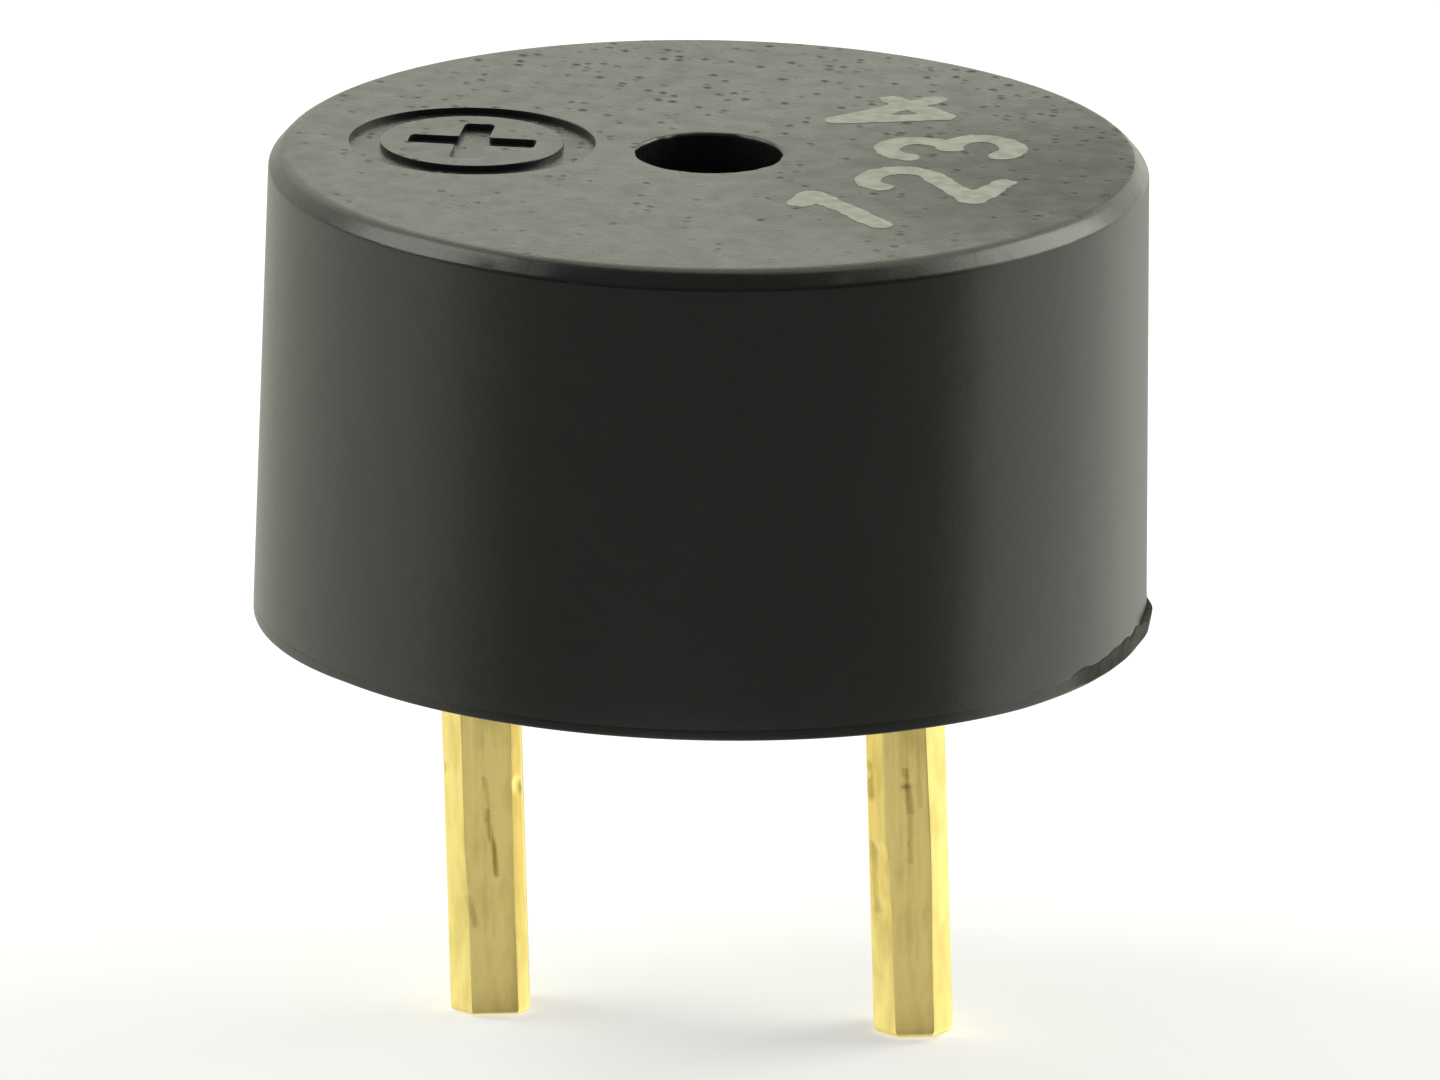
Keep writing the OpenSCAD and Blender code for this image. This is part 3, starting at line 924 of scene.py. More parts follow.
def pin_solid(name, side, grow=0.0, tip_soft=0.1, top=HEAD_Z):
    """A pin in its place, from its rounded tip to its head at a height in millimetres."""
    tip = [(-PIN_OUT + tip_soft * (1 - math.cos(a)), tip_soft * (1 - math.sin(a)))
           for a in np.linspace(TIP_FROM, math.pi / 2, TIP_STEPS)]
    shaft = [(z, 0.0) for z in np.arange(tip[-1][0] + RING_STEP, top, RING_STEP)]
    rows = tip + shaft + [(top, 0.0)]
    outlines = [[(p.x, p.y) for p in pin_ring(bevels_at(side, z), shrink - grow)]
                for z, shrink in rows]
    pin = loft(name, outlines, [z for z, shrink in rows])
    pin.matrix_world = pin_place(side)
    return pin


def press(piece, dents):
    """Presses round dents (x, y, z, radius, depth) towards the pin's axis."""
    for vertex in piece.data.vertices:
        for x, y, z, radius, depth in dents:
            gap = (vertex.co / MM - Vector((x, y, z))).length / radius
            if gap < 1:
                inward = -Vector((vertex.co.x, vertex.co.y, 0)).normalized()
                vertex.co += inward * depth * (1 - gap * gap) ** 2 * MM
    return shade(piece)


print("a pin has about", round((HEAD_Z + PIN_OUT) / RING_STEP), "rings")

# %% [markdown]
# Gold plating is a metal: its colour is all in its reflection, so Metallic is 1 and the IOR
# stays as it is. The bar was drawn through a die, so its roughness runs in long streaks, made
# by stretching a noise along the pin. The scratches are lines between two points: whatever
# lies near such a line is darker and rougher, because the plating is rubbed there.

# %% A noise with long features, and a line
# A scratch is fully rubbed over this share of its width, and fades from there
LINE_CORE = 0.3


def long_grain(node, place, sizes_mm, detail):
    """A noise whose features have these sizes along X, Y and Z."""
    scaled = node("Mapping", {"Vector": place, "Scale": [per_mm(size) for size in sizes_mm]})
    return node("TexNoise", {"Vector": scaled, "Scale": 1.0, "Detail": detail})


def near_line(node, place, start, end, width):
    """1 on the line from start to end, both in millimetres, and 0 further off than its width."""
    a, b = Vector(start) * MM, Vector(end) * MM
    way = b - a
    from_a = node("VectorMath", {0: place, 1: a}, operation="SUBTRACT")
    along = node("VectorMath", {0: from_a, 1: way}, out="Value", operation="DOT_PRODUCT")
    share = node("Math", {0: along, 1: 1 / way.length_squared},
                 operation="MULTIPLY", use_clamp=True)
    foot = node("VectorMath", {0: way, "Scale": share}, operation="SCALE")
    gap = node("VectorMath", {0: from_a, 1: foot}, out="Value", operation="DISTANCE")
    return node("MapRange", span(gap, width * MM * LINE_CORE, width * MM, 1, 0))


# %% Gold plating
GOLD, GOLD_RUBBED = "#fde594", "#b39a4c"
# Features of the die's streaks and of the worn patches, in millimetres
STREAK, WORN = (0.05, 0.05, 1.6), (0.25, 0.25, 0.9)
# How far a scratch strays from its straight line, and its gain where a streak breaks it up
WANDER, SCRATCH_GAIN = 0.12, 1.8


def gold_plating(name, scratches):
    """Drawn and gold-plated bar, with its own scratches (start, end, width, strength)."""
    material, node, place = new_material(name)
    stray = node("TexNoise", grain(place, 0.35, 3.0), out="Color")
    centred = node("VectorMath", {0: stray, 1: (0.5, 0.5, 0.5)}, operation="SUBTRACT")
    shift = node("VectorMath", {0: centred, "Scale": WANDER * MM}, operation="SCALE")
    wandering = node("VectorMath", {0: place, 1: shift}, operation="ADD")
    streak = long_grain(node, place, STREAK, 3.0)
    worn = node("MapRange", span(long_grain(node, place, WORN, 3.0), 0.45, 0.7, 0, 0.35))
    for start, end, width, strength in scratches:
        line = near_line(node, wandering, start, end, width)
        broken = node("Math", {0: line, 1: streak}, operation="MULTIPLY")
        scaled = node("Math", {0: broken, 1: SCRATCH_GAIN * strength}, operation="MULTIPLY")
        worn = node("Math", {0: worn, 1: scaled}, operation="MAXIMUM")
    return finish_material(material, node, {
        "Base Color": node("Mix", tones(worn, GOLD, GOLD_RUBBED), **COLOUR), "Metallic": 1.0,
        "Roughness": node("MapRange", span(streak, 0, 1, 0.26, 0.42)),
        "Normal": node("Bump", {"Height": streak, "Distance": 0.003 * MM})})


# %% The two pins
FRONT = -PIN_W / 2
# (start, end, width, strength): points on the pin as it stands upright, in millimetres
SCRATCHES = {
    POSITIVE: [
        ((0.0, FRONT, -2.35), (0.08, FRONT, -2.9), 0.05, 0.4),
        ((0.05, FRONT, -2.8), (0.15, FRONT, -3.7), 0.06, 0.8),
        ((-0.26, FRONT, -4.05), (-0.16, FRONT, -4.4), 0.09, 0.5)],
    NEGATIVE: [
        ((-0.02, FRONT, -1.9), (0.03, FRONT, -2.5), 0.07, 0.7),
        ((0.02, FRONT, -2.4), (0.04, FRONT, -3.2), 0.05, 0.5),
        ((0.16, FRONT, -1.6), (0.17, FRONT, -2.4), 0.05, 0.3),
        ((-0.5, -0.35, -1.9), (-0.5, -0.35, -2.3), 0.12, 0.6),
        ((-0.5, -0.35, -3.0), (-0.48, -0.35, -3.9), 0.10, 0.5),
        ((-0.5, -0.35, -4.6), (-0.5, -0.35, -5.2), 0.10, 0.4)],
}
# (x, y, z, radius, depth), likewise
DENTS = {
    POSITIVE: [(-0.5, -0.35, -2.27, 0.13, 0.05), (0.5, -0.45, -2.48, 0.16, 0.035)],
    NEGATIVE: [
        (-0.52, -0.32, -2.03, 0.12, 0.04), (-0.4, -0.4, -3.1, 0.2, 0.03),
        (-0.38, -0.42, -3.9, 0.22, 0.03), (0.0, -0.53, -2.1, 0.06, 0.02),
        (-0.5, -0.3, -4.7, 0.2, 0.03)],
}
TIP_SOFT = {POSITIVE: 0.07, NEGATIVE: 0.13}

for side, pole in SIDES.items():
    pin = press(pin_solid(f"pin_{pole}_plated", side, tip_soft=TIP_SOFT[side]), DENTS[side])
    pin.data.materials.append(gold_plating(f"gold_plating_{pole}_pin", SCRATCHES[side]))
    install(pin, HOUSING, "pins", "pin_" + pole)
    cut(base, pin_solid("pin_cutter", side, grow=SPIGOT_FIT, top=HEAD_Z + SPIGOT_FIT))

# %% [markdown]
# ## Leads and solder
# The winding's two ends come down through the base in fine enamelled wire, and each is soldered
# to its pin. The wire is a tube swept along a path: at each point a ring is laid square to the
# path. A curve with a bevel would also do, but a mesh can be grown and used as a cutter too.

# %% Sweep a tube
def tube(name, path, radius, material=None, sides=14):
    """A closed tube along points in millimetres."""
    points = [Vector(p) for p in path]
    vertices, across = [], None
    for i, point in enumerate(points):
        way = (points[min(i + 1, len(points) - 1)] - points[max(i - 1, 0)]).normalized()
        across = way.orthogonal() if across is None else across - way * across.dot(way)
        across.normalize()
        other = way.cross(across)
        vertices += [point + radius * (math.cos(a) * across + math.sin(a) * other)
                     for a in np.linspace(0, 2 * math.pi, sides, endpoint=False)]
    return mesh_object(name, vertices, ring_faces(len(points), sides), material)


print("a straight tube with 14 sides has", len(ring_faces(2, 14)), "faces")

# %% The path of a lead
LEAD_R, LEAD_WIRE_R, LEAD_Z = 3.055, 0.045, 0.32
LEAD_TURN = {NEGATIVE: math.radians(40), POSITIVE: math.radians(40) + math.pi}
# Where each lead leaves the coil: its outermost or its innermost turn, as (radius, height)
COIL_END = {NEGATIVE: (2.795, 2.8), POSITIVE: (1.35, 1.975)}
BEND_R = 0.108
# A lead ends this far from the pin's middle, and its own width further off
LEAD_REACH = 0.62


def elbow(before, corner, after, steps=6):
    """A quarter bend at a corner, starting and ending BEND_R from it."""
    start = corner + (before - corner).normalized() * BEND_R
    end = corner + (after - corner).normalized() * BEND_R
    centre = start + end - corner
    return [centre + (start - centre) * math.cos(a) + (end - centre) * math.sin(a)
            for a in np.linspace(0, math.pi / 2, steps)]


def lead_path(side):
    """From the winding out to the lead hole, down through the base and across to the pin."""
    away = Vector((math.cos(LEAD_TURN[side]), math.sin(LEAD_TURN[side]), 0))
    coil_r, coil_z = COIL_END[side]
    inner, top = away * coil_r, away * LEAD_R
    inner.z = top.z = coil_z
    foot = Vector((top.x, top.y, LEAD_Z))
    axis = pin_place(side) @ (Vector((0, 0, LEAD_Z)) * MM) / MM
    to_pin = Vector((axis.x, axis.y, LEAD_Z)) - foot
    end = foot + to_pin.normalized() * (to_pin.length - LEAD_REACH - 2 * LEAD_WIRE_R)
    return [inner, *elbow(inner, top, foot), *elbow(top, foot, end), end]


for side, pole in SIDES.items():
    print(pole, "lead ends at", [round(v, 3) for v in lead_path(side)[-1]])

# %% [markdown]
# Enamelled copper is bare copper under a clear film. The coat layer of the shader is just such
# a film: the copper below stays metallic, and the coat adds its own sharp highlight.

# %% Enamelled copper and solder
def enamelled_copper(name):
    """Copper wire under clear polyurethane enamel."""
    material, node, place = new_material(name)
    tone = node("TexNoise", grain(place, 0.3, 2.0))
    return finish_material(material, node, {
        "Base Color": node("Mix", tones(tone, "#a4521f", "#c8743a"), **COLOUR),
        "Metallic": 1.0, "Roughness": 0.25, "Coat Weight": 1.0, "Coat Roughness": 0.08})


def plain_metal(name, dark, light, roughness, grain_mm, stretch=(1, 1, 1), relief_um=1.0):
    """A bare or plated metal whose tone, roughness and relief follow one grain."""
    material, node, place = new_material(name)
    texture = long_grain(node, place, [grain_mm * s for s in stretch], 4.0)
    return finish_material(material, node, {
        "Base Color": node("Mix", tones(texture, dark, light), **COLOUR), "Metallic": 1.0,
        "Roughness": node("MapRange", span(texture, 0, 1, roughness - 0.07, roughness + 0.07)),
        "Normal": node("Bump", {"Height": texture, "Distance": relief_um * 0.001 * MM})})


copper_finish = enamelled_copper("enamelled_copper_wire")
solder_finish = plain_metal("tin_solder_wetted", "#a9acae", "#cdd0d1", 0.28, 0.12, relief_um=4)

# %% Leads
BOND = 0.01


def lead_cutter(side):
    """The room a lead takes in what it is bonded to."""
    return tube("lead_cutter", lead_path(side), LEAD_WIRE_R + BOND)


for side, lead in ((POSITIVE, "lead_start"), (NEGATIVE, "lead_finish")):
    wire = tube(lead + "_wire", lead_path(side), LEAD_WIRE_R, copper_finish)
    install(wire, HOUSING, "enamelled_copper", lead)

# %% [markdown]
# Solder wets the pin and climbs a little way along it, so each joint is a small hollow-sided
# cone, slightly lumpy. It is turned round the leaning pin, then cut by the pin and the wire.

# %% Solder joints
CONE_TOP_Z, CONE_H, PIN_IN_CONE_TOP = 0.445, 0.28, 0.9
CONE_WIDE, CONE_NARROW = 0.917, 0.692
# The hollow side follows this power; the foot of the cone is drawn in by this much
CONE_POWER, CONE_FOOT_IN = 1.6, 0.04
LUMPS, LUMP_WAVES = 0.012, (2, 3, 5, 7)


def solder_solid(name, side, grow=0.0, lumps=0.0):
    """A hollow-sided cone on a pin, with its wide end up against the base."""
    foot_z = CONE_TOP_Z - CONE_H - grow
    section = [(0, CONE_TOP_Z + grow)]
    section += [(CONE_NARROW + (CONE_WIDE - CONE_NARROW) * (1 - s) ** CONE_POWER + grow,
                 CONE_TOP_Z - s * CONE_H) for s in np.linspace(0, 1, 9)]
    section += [(CONE_NARROW - CONE_FOOT_IN + grow, foot_z), (0, foot_z)]
    cone = lathe(name, section, segments=96)
    for vertex in cone.data.vertices:
        angle = math.atan2(vertex.co.y, vertex.co.x)
        widen(vertex, 1 + lumps * ripple(angle, 20 + side, LUMP_WAVES) - lumps)
    cone.matrix_world = pin_place(side)
    return cone


for side, pole in SIDES.items():
    joint = solder_solid(f"solder_{pole}_joint", side, lumps=LUMPS)
    cut(joint, pin_solid("pin_cutter", side, grow=BOND, top=PIN_IN_CONE_TOP), lead_cutter(side))
    joint.data.materials.append(solder_finish)
    install(joint, HOUSING, "solder", "solder_" + pole)

# %% [markdown]
# ## Sealing resin
# Black epoxy is poured into the recess and sets with its own surface: it is glassy, and it
# creeps up the wall and round the pins in a curve called a meniscus. A flat disc would miss
# both curves. So the visible face is a polar grid, and each point's height is worked out from
# its distance to the wall and to the pins.

# %% Height of the resin's skin
WALL_CREEP, PIN_CREEP, CREEP_W = 0.055, 0.16, 0.16
# The skin lies this far inside the recess, and swells slowly by this much
SKIN_SUNK, SKIN_SWELL = 0.02, 0.012


def pin_gap(x, y):
    """Distance from a point of the skin to the nearest pin's outline."""
    gaps = []
    for side in SIDES:
        p = pin_place(side).inverted() @ (Vector((x, y, RESIN_FACE)) * MM) / MM
        dx, dy = abs(p.x) - PIN_W / 2, abs(p.y) - PIN_W / 2
        outside = math.hypot(max(dx, 0), max(dy, 0)) + min(max(dx, dy), 0)
        cut_corner = (abs(p.x) + abs(p.y) - (PIN_W - PIN_BEVEL)) / math.sqrt(2)
        gaps.append(max(outside, cut_corner))
    return min(gaps)


def skin_height(x, y):
    """Height of the resin's skin; lower is further out of the recess."""
    wall = WALL_CREEP * math.exp(-(RECESS_R - math.hypot(x, y)) / CREEP_W)
    pin = PIN_CREEP * math.exp(-max(pin_gap(x, y), 0) / CREEP_W)
    # One slow wave along X and another along Y, each a few millimetres long
    swell = SKIN_SWELL * math.sin(1.1 * x + 0.4) * math.cos(0.9 * y - 0.7)
    return RESIN_FACE + SKIN_SUNK + swell - wall - pin


print("skin at the wall:", round(skin_height(0, RECESS_R), 3),
      "and in the middle:", round(skin_height(0, 0), 3))

# %% Build the resin
# The rings stand closer together in this band along the wall, where the skin curves
WALL_BAND, BAND_POWER = 0.45, 1.6
PIN_ROOM_TOP = 1.0
skin_rings = [*np.linspace(0, RECESS_R - WALL_BAND, 50),
              *(RECESS_R - WALL_BAND * (1 - s) ** BAND_POWER for s in np.linspace(0, 1, 12)[1:])]
resin_section = [(r, RESIN_FACE) for r in skin_rings]
resin_section += [(RECESS_R, RECESS_DEPTH), (0, RECESS_DEPTH)]
resin = lathe("sealing_resin_pour", resin_section, segments=256)
for vertex in resin.data.vertices:
    x, y, z = vertex.co / MM
    if z < RESIN_FACE + 0.01:
        vertex.co.z = skin_height(x, y) * MM
for side in SIDES:
    cut(resin, pin_solid("pin_cutter", side, grow=BOND / 2, top=PIN_ROOM_TOP),
        solder_solid("solder_cutter", side, grow=BOND), lead_cutter(side))
print("resin after cutting:", len(resin.data.polygons), "faces")

# %% Epoxy
def black_epoxy(name):
    """Poured two-part epoxy: black, glassy and almost flat, with a few trapped specks."""
    material, node, place = new_material(name)
    flow = node("TexNoise", grain(place, 1.6, 1.0))
    speck = node("TexVoronoi", {"Vector": place, "Scale": per_mm(0.7)}, out="Distance")
    dimple = node("MapRange", span(speck, 0, 0.09, -1, 0))
    height = node("Math", {0: flow, 1: dimple}, operation="ADD")
    return finish_material(material, node, {
        "Base Color": node("Mix", tones(flow, "#09090b", "#0e0e11"), **COLOUR),
        "Roughness": 0.07, "IOR": 1.55,
        "Normal": node("Bump", {"Height": height, "Distance": 0.006 * MM})})


resin.data.materials.append(black_epoxy("black_epoxy_resin"))
install(resin, HOUSING, "resin", "sealing_resin")

# %% Lead holes in the base
LEAD_HOLE_R, LEAD_HOLE_FROM = 0.25, 0.2


def lead_holes(low, high):
    """Round cutters for the two lead holes, between two heights."""
    section = [(0, low), (LEAD_HOLE_R, low), (LEAD_HOLE_R, high), (0, high)]
    return [lathe("hole_cutter", section, segments=48,
                  centre=(LEAD_R * math.cos(turn), LEAD_R * math.sin(turn)))
            for turn in LEAD_TURN.values()]


cut(base, *lead_holes(LEAD_HOLE_FROM, BASE_TOP + 1))
install(base, HOUSING, "base", "base")

# %% [markdown]
# ## The works inside
# Under the roof are the parts that make the sound: an iron yoke and core, a ring magnet, a coil
# on its bobbin, and a brass ring that holds a thin steel diaphragm. They are hardly seen, but
# the part can be opened in a cutaway view. All are round, so one table of half sections and one
# loop make them: the lathe again, with a real edge radius for each trade.

# %% Half sections
def rectangle(r_in, r_out, low, high, edge):
    """A rectangular half section with soft edges."""
    return rounded([(r_in, low, edge), (r_out, low, edge), (r_out, high, edge),
                    (r_in, high, edge)], steps=4)


yoke_low, yoke_high = limits("yoke")
core_top = limits("core")[1].z
magnet_low, magnet_high = limits("magnet")
bobbin_low, bobbin_high = limits("bobbin")
coil_low, coil_high = limits("winding")
ring_low, ring_high = limits("support_ring")
SHANK_R, CORE_R, TUBE_R, TUBE_BORE_R = 0.7, 1.0, 1.17, 1.02
MAGNET_BORE_R, LEDGE_R, LEDGE_Z, LIP_R, FLANGE_PLATE = 3.28, 4.68, 4.1, 5.0, 0.15

core_section = rounded([
    (0, BASE_TOP, 0), (SHANK_R, BASE_TOP, 0.04), (SHANK_R, yoke_high.z, 0),
    (CORE_R, yoke_high.z, 0.03), (CORE_R, core_top, 0.05), (0, core_top, 0)], steps=4)
plate_low, plate_high = bobbin_low.z + FLANGE_PLATE, bobbin_high.z - FLANGE_PLATE
bobbin_section = rounded([
    (TUBE_BORE_R, bobbin_low.z, 0.03), (bobbin_high.x, bobbin_low.z, 0.04),
    (bobbin_high.x, plate_low, 0.04), (TUBE_R, plate_low, 0.03),
    (TUBE_R, plate_high, 0.03), (bobbin_high.x, plate_high, 0.04),
    (bobbin_high.x, bobbin_high.z, 0.04), (TUBE_BORE_R, bobbin_high.z, 0.03)], steps=4)
ring_section = rounded([
    (LEDGE_R, ring_low.z, 0.04), (ring_high.x, ring_low.z, 0.06), (ring_high.x, ring_high.z, 0.05),
    (LIP_R, ring_high.z, 0.03), (LIP_R, LEDGE_Z, 0), (LEDGE_R, LEDGE_Z, 0.03)], steps=4)
print("core is", round(core_top - BASE_TOP, 2), "mm long")

# %% [markdown]
# The winding isn't a smooth sleeve. Its wire lies turn by turn, so the half section gets a row
# of half circles along its outer side, each as wide as the wire with its enamel.

# %% Half section of the winding
WIRE_PITCH = 0.075
# Each half circle stops short of its neighbours, at this angle either way
TURN_ARC = 1.35


def winding_section(r_in, r_out, low, high):
    """A rectangle whose outer side is a row of wire turns."""
    turns = round((high - low) / WIRE_PITCH)
    pitch = (high - low) / turns
    points = [(r_in, low)]
    for turn in range(turns):
        middle = low + pitch * (turn + 0.5)
        points += [(r_out - pitch / 2 + pitch / 2 * math.cos(a), middle + pitch / 2 * math.sin(a))
                   for a in np.linspace(-TURN_ARC, TURN_ARC, 6)]
    return points + [(r_in, high)]


coil_section = winding_section(TUBE_R + BOND, coil_high.x, coil_low.z, coil_high.z)
print("winding shows", round((coil_high.z - coil_low.z) / WIRE_PITCH), "turns")

# %% Finishes of the inner pieces
def moulded(name, dark, light, roughness, ior, grain_mm, relief_um):
    """A moulded or pressed non-metal with a fine even grain."""
    material, node, place = new_material(name)
    texture = node("TexNoise", grain(place, grain_mm, 5.0))
    return finish_material(material, node, {
        "Base Color": node("Mix", tones(texture, dark, light), **COLOUR),
        "Roughness": roughness, "IOR": ior,
        "Normal": node("Bump", {"Height": texture, "Distance": relief_um * 0.001 * MM})})


# Barrelled and plated, so its grain is fine and even
nickel_finish = plain_metal("nickel_plated_steel", "#a29f98", "#c9c6bf", 0.3, 0.08)
# Magnet powder pressed in a resin: dark, dull and sandy
magnet_finish = moulded("bonded_neodymium_magnet", "#232224", "#3d3b3e", 0.62, 1.6, 0.05, 6)
# Uncoloured nylon, creamy and a little waxy
bobbin_finish = moulded("natural_nylon", "#ddd4bd", "#ece5d3", 0.42, 1.53, 0.4, 2)
# Turned brass: its grain runs round, and is fine enough to read as an even sheen
brass_finish = plain_metal("turned_brass", "#b8964e", "#dabd7d", 0.3, 0.06)
# Rolled strip: the grain runs along X, the way it went through the rolls
rolled_finish = plain_metal("rolled_spring_steel", "#a8abad", "#d3d5d6", 0.26, 0.05,
                            stretch=(30, 1, 1), relief_um=0.8)
stamped_finish = plain_metal("stamped_soft_iron", "#83858a", "#acadb0", 0.38, 0.07, relief_um=2)

# %% Turn the inner pieces
yoke_section = rectangle(SHANK_R + BOND, yoke_high.x, yoke_low.z, yoke_high.z, 0.06)
magnet_section = rectangle(MAGNET_BORE_R, magnet_high.x, magnet_low.z, magnet_high.z, 0.09)
# The slot in the bobbin's lower flange that lets the inner lead out: radii, height and size
SLOT_FROM, SLOT_TO, SLOT_Z, SLOT_R = 1.28, 3.2, 1.94, 0.095


def lead_slot():
    """A square cutter along the way of the inner lead."""
    turn = LEAD_TURN[POSITIVE]
    path = [(r * math.cos(turn), r * math.sin(turn), SLOT_Z) for r in (SLOT_FROM, SLOT_TO)]
    return tube("slot_cutter", path, SLOT_R, sides=4)


WORKS = [
    ("yoke", "yoke_plate", yoke_section, nickel_finish, "plated_steel"),
    ("core", "pole_core", core_section, nickel_finish, "plated_steel"),
    ("magnet", "ring_magnet", magnet_section, magnet_finish, "magnet"),
    ("bobbin", "coil_bobbin", bobbin_section, bobbin_finish, "bobbin"),
    ("winding", "coil_winding", coil_section, copper_finish, "enamelled_copper"),
    ("support_ring", "diaphragm_ring", ring_section, brass_finish, "support_ring"),
]
for node, name, section, finish, slot_name in WORKS:
    piece = lathe(name, section, segments=160)
    if node == "yoke":
        cut(piece, *lead_holes(BASE_TOP - 1, yoke_high.z + 1))
    if node == "bobbin":
        cut(piece, lead_slot())
    piece.data.materials.append(finish)
    install(piece, HOUSING, slot_name, node)

# %% [markdown]
# ## Diaphragm and armature
# The armature is an iron disc welded to the middle of a steel diaphragm. The coil pulls it up
# and down by a tenth of a millimetre, and the diaphragm bends like a drum skin, held at its
# edge. Here the diaphragm stays a flat disc: each vertex is laid out at x = its radius for a
# moment and then put back, so its shape doesn't change.

# %% Armature
armature_low, armature_high = limits("armature")
ARMATURE_R, ARMATURE_BEVEL, DIMPLE_R, DIMPLE_FLAT = armature_high.x, 0.07, 0.3, 0.7
dimple_z = armature_high.z - ARMATURE_BEVEL
armature_section = rounded([
    (0, armature_low.z, 0), (ARMATURE_R, armature_low.z, 0.03), (ARMATURE_R, dimple_z, 0.04),
    (ARMATURE_R - ARMATURE_BEVEL, armature_high.z, 0.03), (DIMPLE_R, armature_high.z, 0.03),
    (DIMPLE_R * DIMPLE_FLAT, dimple_z, 0.03), (0, dimple_z, 0)], steps=4)
armature = lathe("armature_plate", armature_section, stamped_finish, segments=128)
install(armature, ARMATURE, "armature", "armature")

# %% Diaphragm
diaphragm_low, diaphragm_high = limits("diaphragm")
skin_radii = list(np.linspace(0, diaphragm_high.x - 0.02, 40))
diaphragm_section = [(r, diaphragm_low.z) for r in skin_radii]
diaphragm_section += [(diaphragm_high.x, (diaphragm_low.z + diaphragm_high.z) / 2)]
diaphragm_section += [(r, diaphragm_high.z) for r in reversed(skin_radii)]
diaphragm = lathe("diaphragm_skin", diaphragm_section, rolled_finish, segments=128)

at_rest = [vertex.co.copy() for vertex in diaphragm.data.vertices]
for vertex in diaphragm.data.vertices:
    vertex.co = (math.hypot(vertex.co.x, vertex.co.y), 0, 0)
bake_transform(diaphragm)
for vertex, place in zip(diaphragm.data.vertices, at_rest):
    vertex.co = place
shade(diaphragm)
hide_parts("diaphragm")
print("diaphragm bends between", LEDGE_R, "and", ARMATURE_R, "mm from its middle")

# %% [markdown]
# ## Floor
# The buzzer stands on its pin tips on a pale floor. For the camera the floor is lifted by a
# little light of its own, so that it meets the white background without an edge, and the
# object's shadow still shows on it. Mirrored rays see the card only in front of the buzzer,
# where it warms the pins, and elsewhere pass through it to the studio, as beyond a table's edge.

# %% Floor
FLOOR_HALF = 0.45
FLOOR_LIFT, MIRROR_LIFT = 0.47, 0.22
# The card that mirrored rays see: its near and far edge in millimetres, each with its softness.
# It is narrower than it is long by this factor.
CARD_NEAR, CARD_FAR, CARD_NARROW = (0.6, 1.8), (16, 25), 2.2


def studio_floor(name):
    """Pale matt card; lifted to white for the camera, and clear to mirrored rays further out."""
    material, node, place = new_material(name)
    camera_ray, glossy, transmitted = node(
        "LightPath", out=("Is Camera Ray", "Is Glossy Ray", "Is Transmission Ray"))
    mirrored = node("Math", {0: glossy, 1: transmitted}, operation="MAXIMUM")
    speckle = node("TexNoise", grain(place, 3, 3.0))
    tone = node("Mix", tones(speckle, "#e6e6e4", "#e9e9e7"), **COLOUR)
    card = node("BsdfPrincipled", {"Base Color": tone, "Roughness": 0.9})
    strength = node("MapRange", span(camera_ray, 0, 1, MIRROR_LIFT, FLOOR_LIFT))
    lifted = node("AddShader", {0: card, 1: node("Emission", {"Strength": strength})})
    looked_at = node("Math", {0: camera_ray, 1: mirrored}, operation="MAXIMUM")
    surface = node("MixShader", {0: looked_at, 1: card, 2: lifted})
    narrowed = node("VectorMath", {0: place, 1: (CARD_NARROW, 1, 1)}, operation="MULTIPLY")
    middle = node("VectorMath", {0: narrowed, 1: (0, 0, PIN_TIP_Z * MM)},
                  out="Value", operation="DISTANCE")
    away = node("MapRange", span(middle, CARD_FAR[0] * MM, CARD_FAR[1] * MM))
    forward = node("VectorMath", {0: place, 1: (0, -1, 0)}, out="Value", operation="DOT_PRODUCT")
    short_of = node("MapRange", span(forward, CARD_NEAR[0] * MM, CARD_NEAR[1] * MM, 1, 0))
    off_card = node("Math", {0: away, 1: short_of}, operation="MAXIMUM")
    passed = node("Math", {0: mirrored, 1: off_card}, operation="MULTIPLY")
    behind = node("NewGeometry", out="Backfacing")
    clear = node("Math", {0: passed, 1: behind}, operation="MAXIMUM")
    return finish_material(material, node, node(
        "MixShader", {0: clear, 1: surface, 2: node("BsdfTransparent")}))


corners = [(-1, -1), (1, -1), (1, 1), (-1, 1)]
floor_mesh = bpy.data.meshes.new("floor")
floor_mesh.from_pydata(
    [(x * FLOOR_HALF, y * FLOOR_HALF, PIN_TIP_Z * MM) for x, y in corners], [], [(0, 1, 2, 3)])
floor_mesh.materials.append(studio_floor("pale_floor_card"))
floor = bpy.data.objects.new("floor", floor_mesh)
bpy.context.collection.objects.link(floor)
print("floor at", round(PIN_TIP_Z, 3), "mm")

# %% [markdown]
# ## Studio
# Glossy black shows nothing but its surroundings, so the surroundings are the real material
# work. The world is white to the camera and to mirrored rays, except for a dark side at the
# front, where the room isn't lit. That dark side gives the front of the wall its deep black,
# and its edges give the soft fade on the left and the sharper one on the right. Higher up the
# room is dark nearly all round, so only the softboxes light the rounded top edge.

# %% What the studio is like in each direction
# Linear colours, brighter than 1 where the room is lit
WHITE_LEFT = (1.12, 1.17, 0.99, 1)
WHITE_BACK_LEFT = (0.83, 0.86, 0.73, 1)
WHITE_RIGHT = (1.40, 1.44, 1.26, 1)
WHITE_HIGH = (1.38, 1.43, 1.17, 1)
WHITE_BELOW = (0.66, 0.68, 0.61, 1)
DARK_LOW = (0.38, 0.37, 0.33, 1)
DARK_LEVEL = (0.03, 0.03, 0.025, 1)
DARK_HIGH = (0.15, 0.155, 0.14, 1)
AMBIENT = (0.33, 0.33, 0.33, 1)
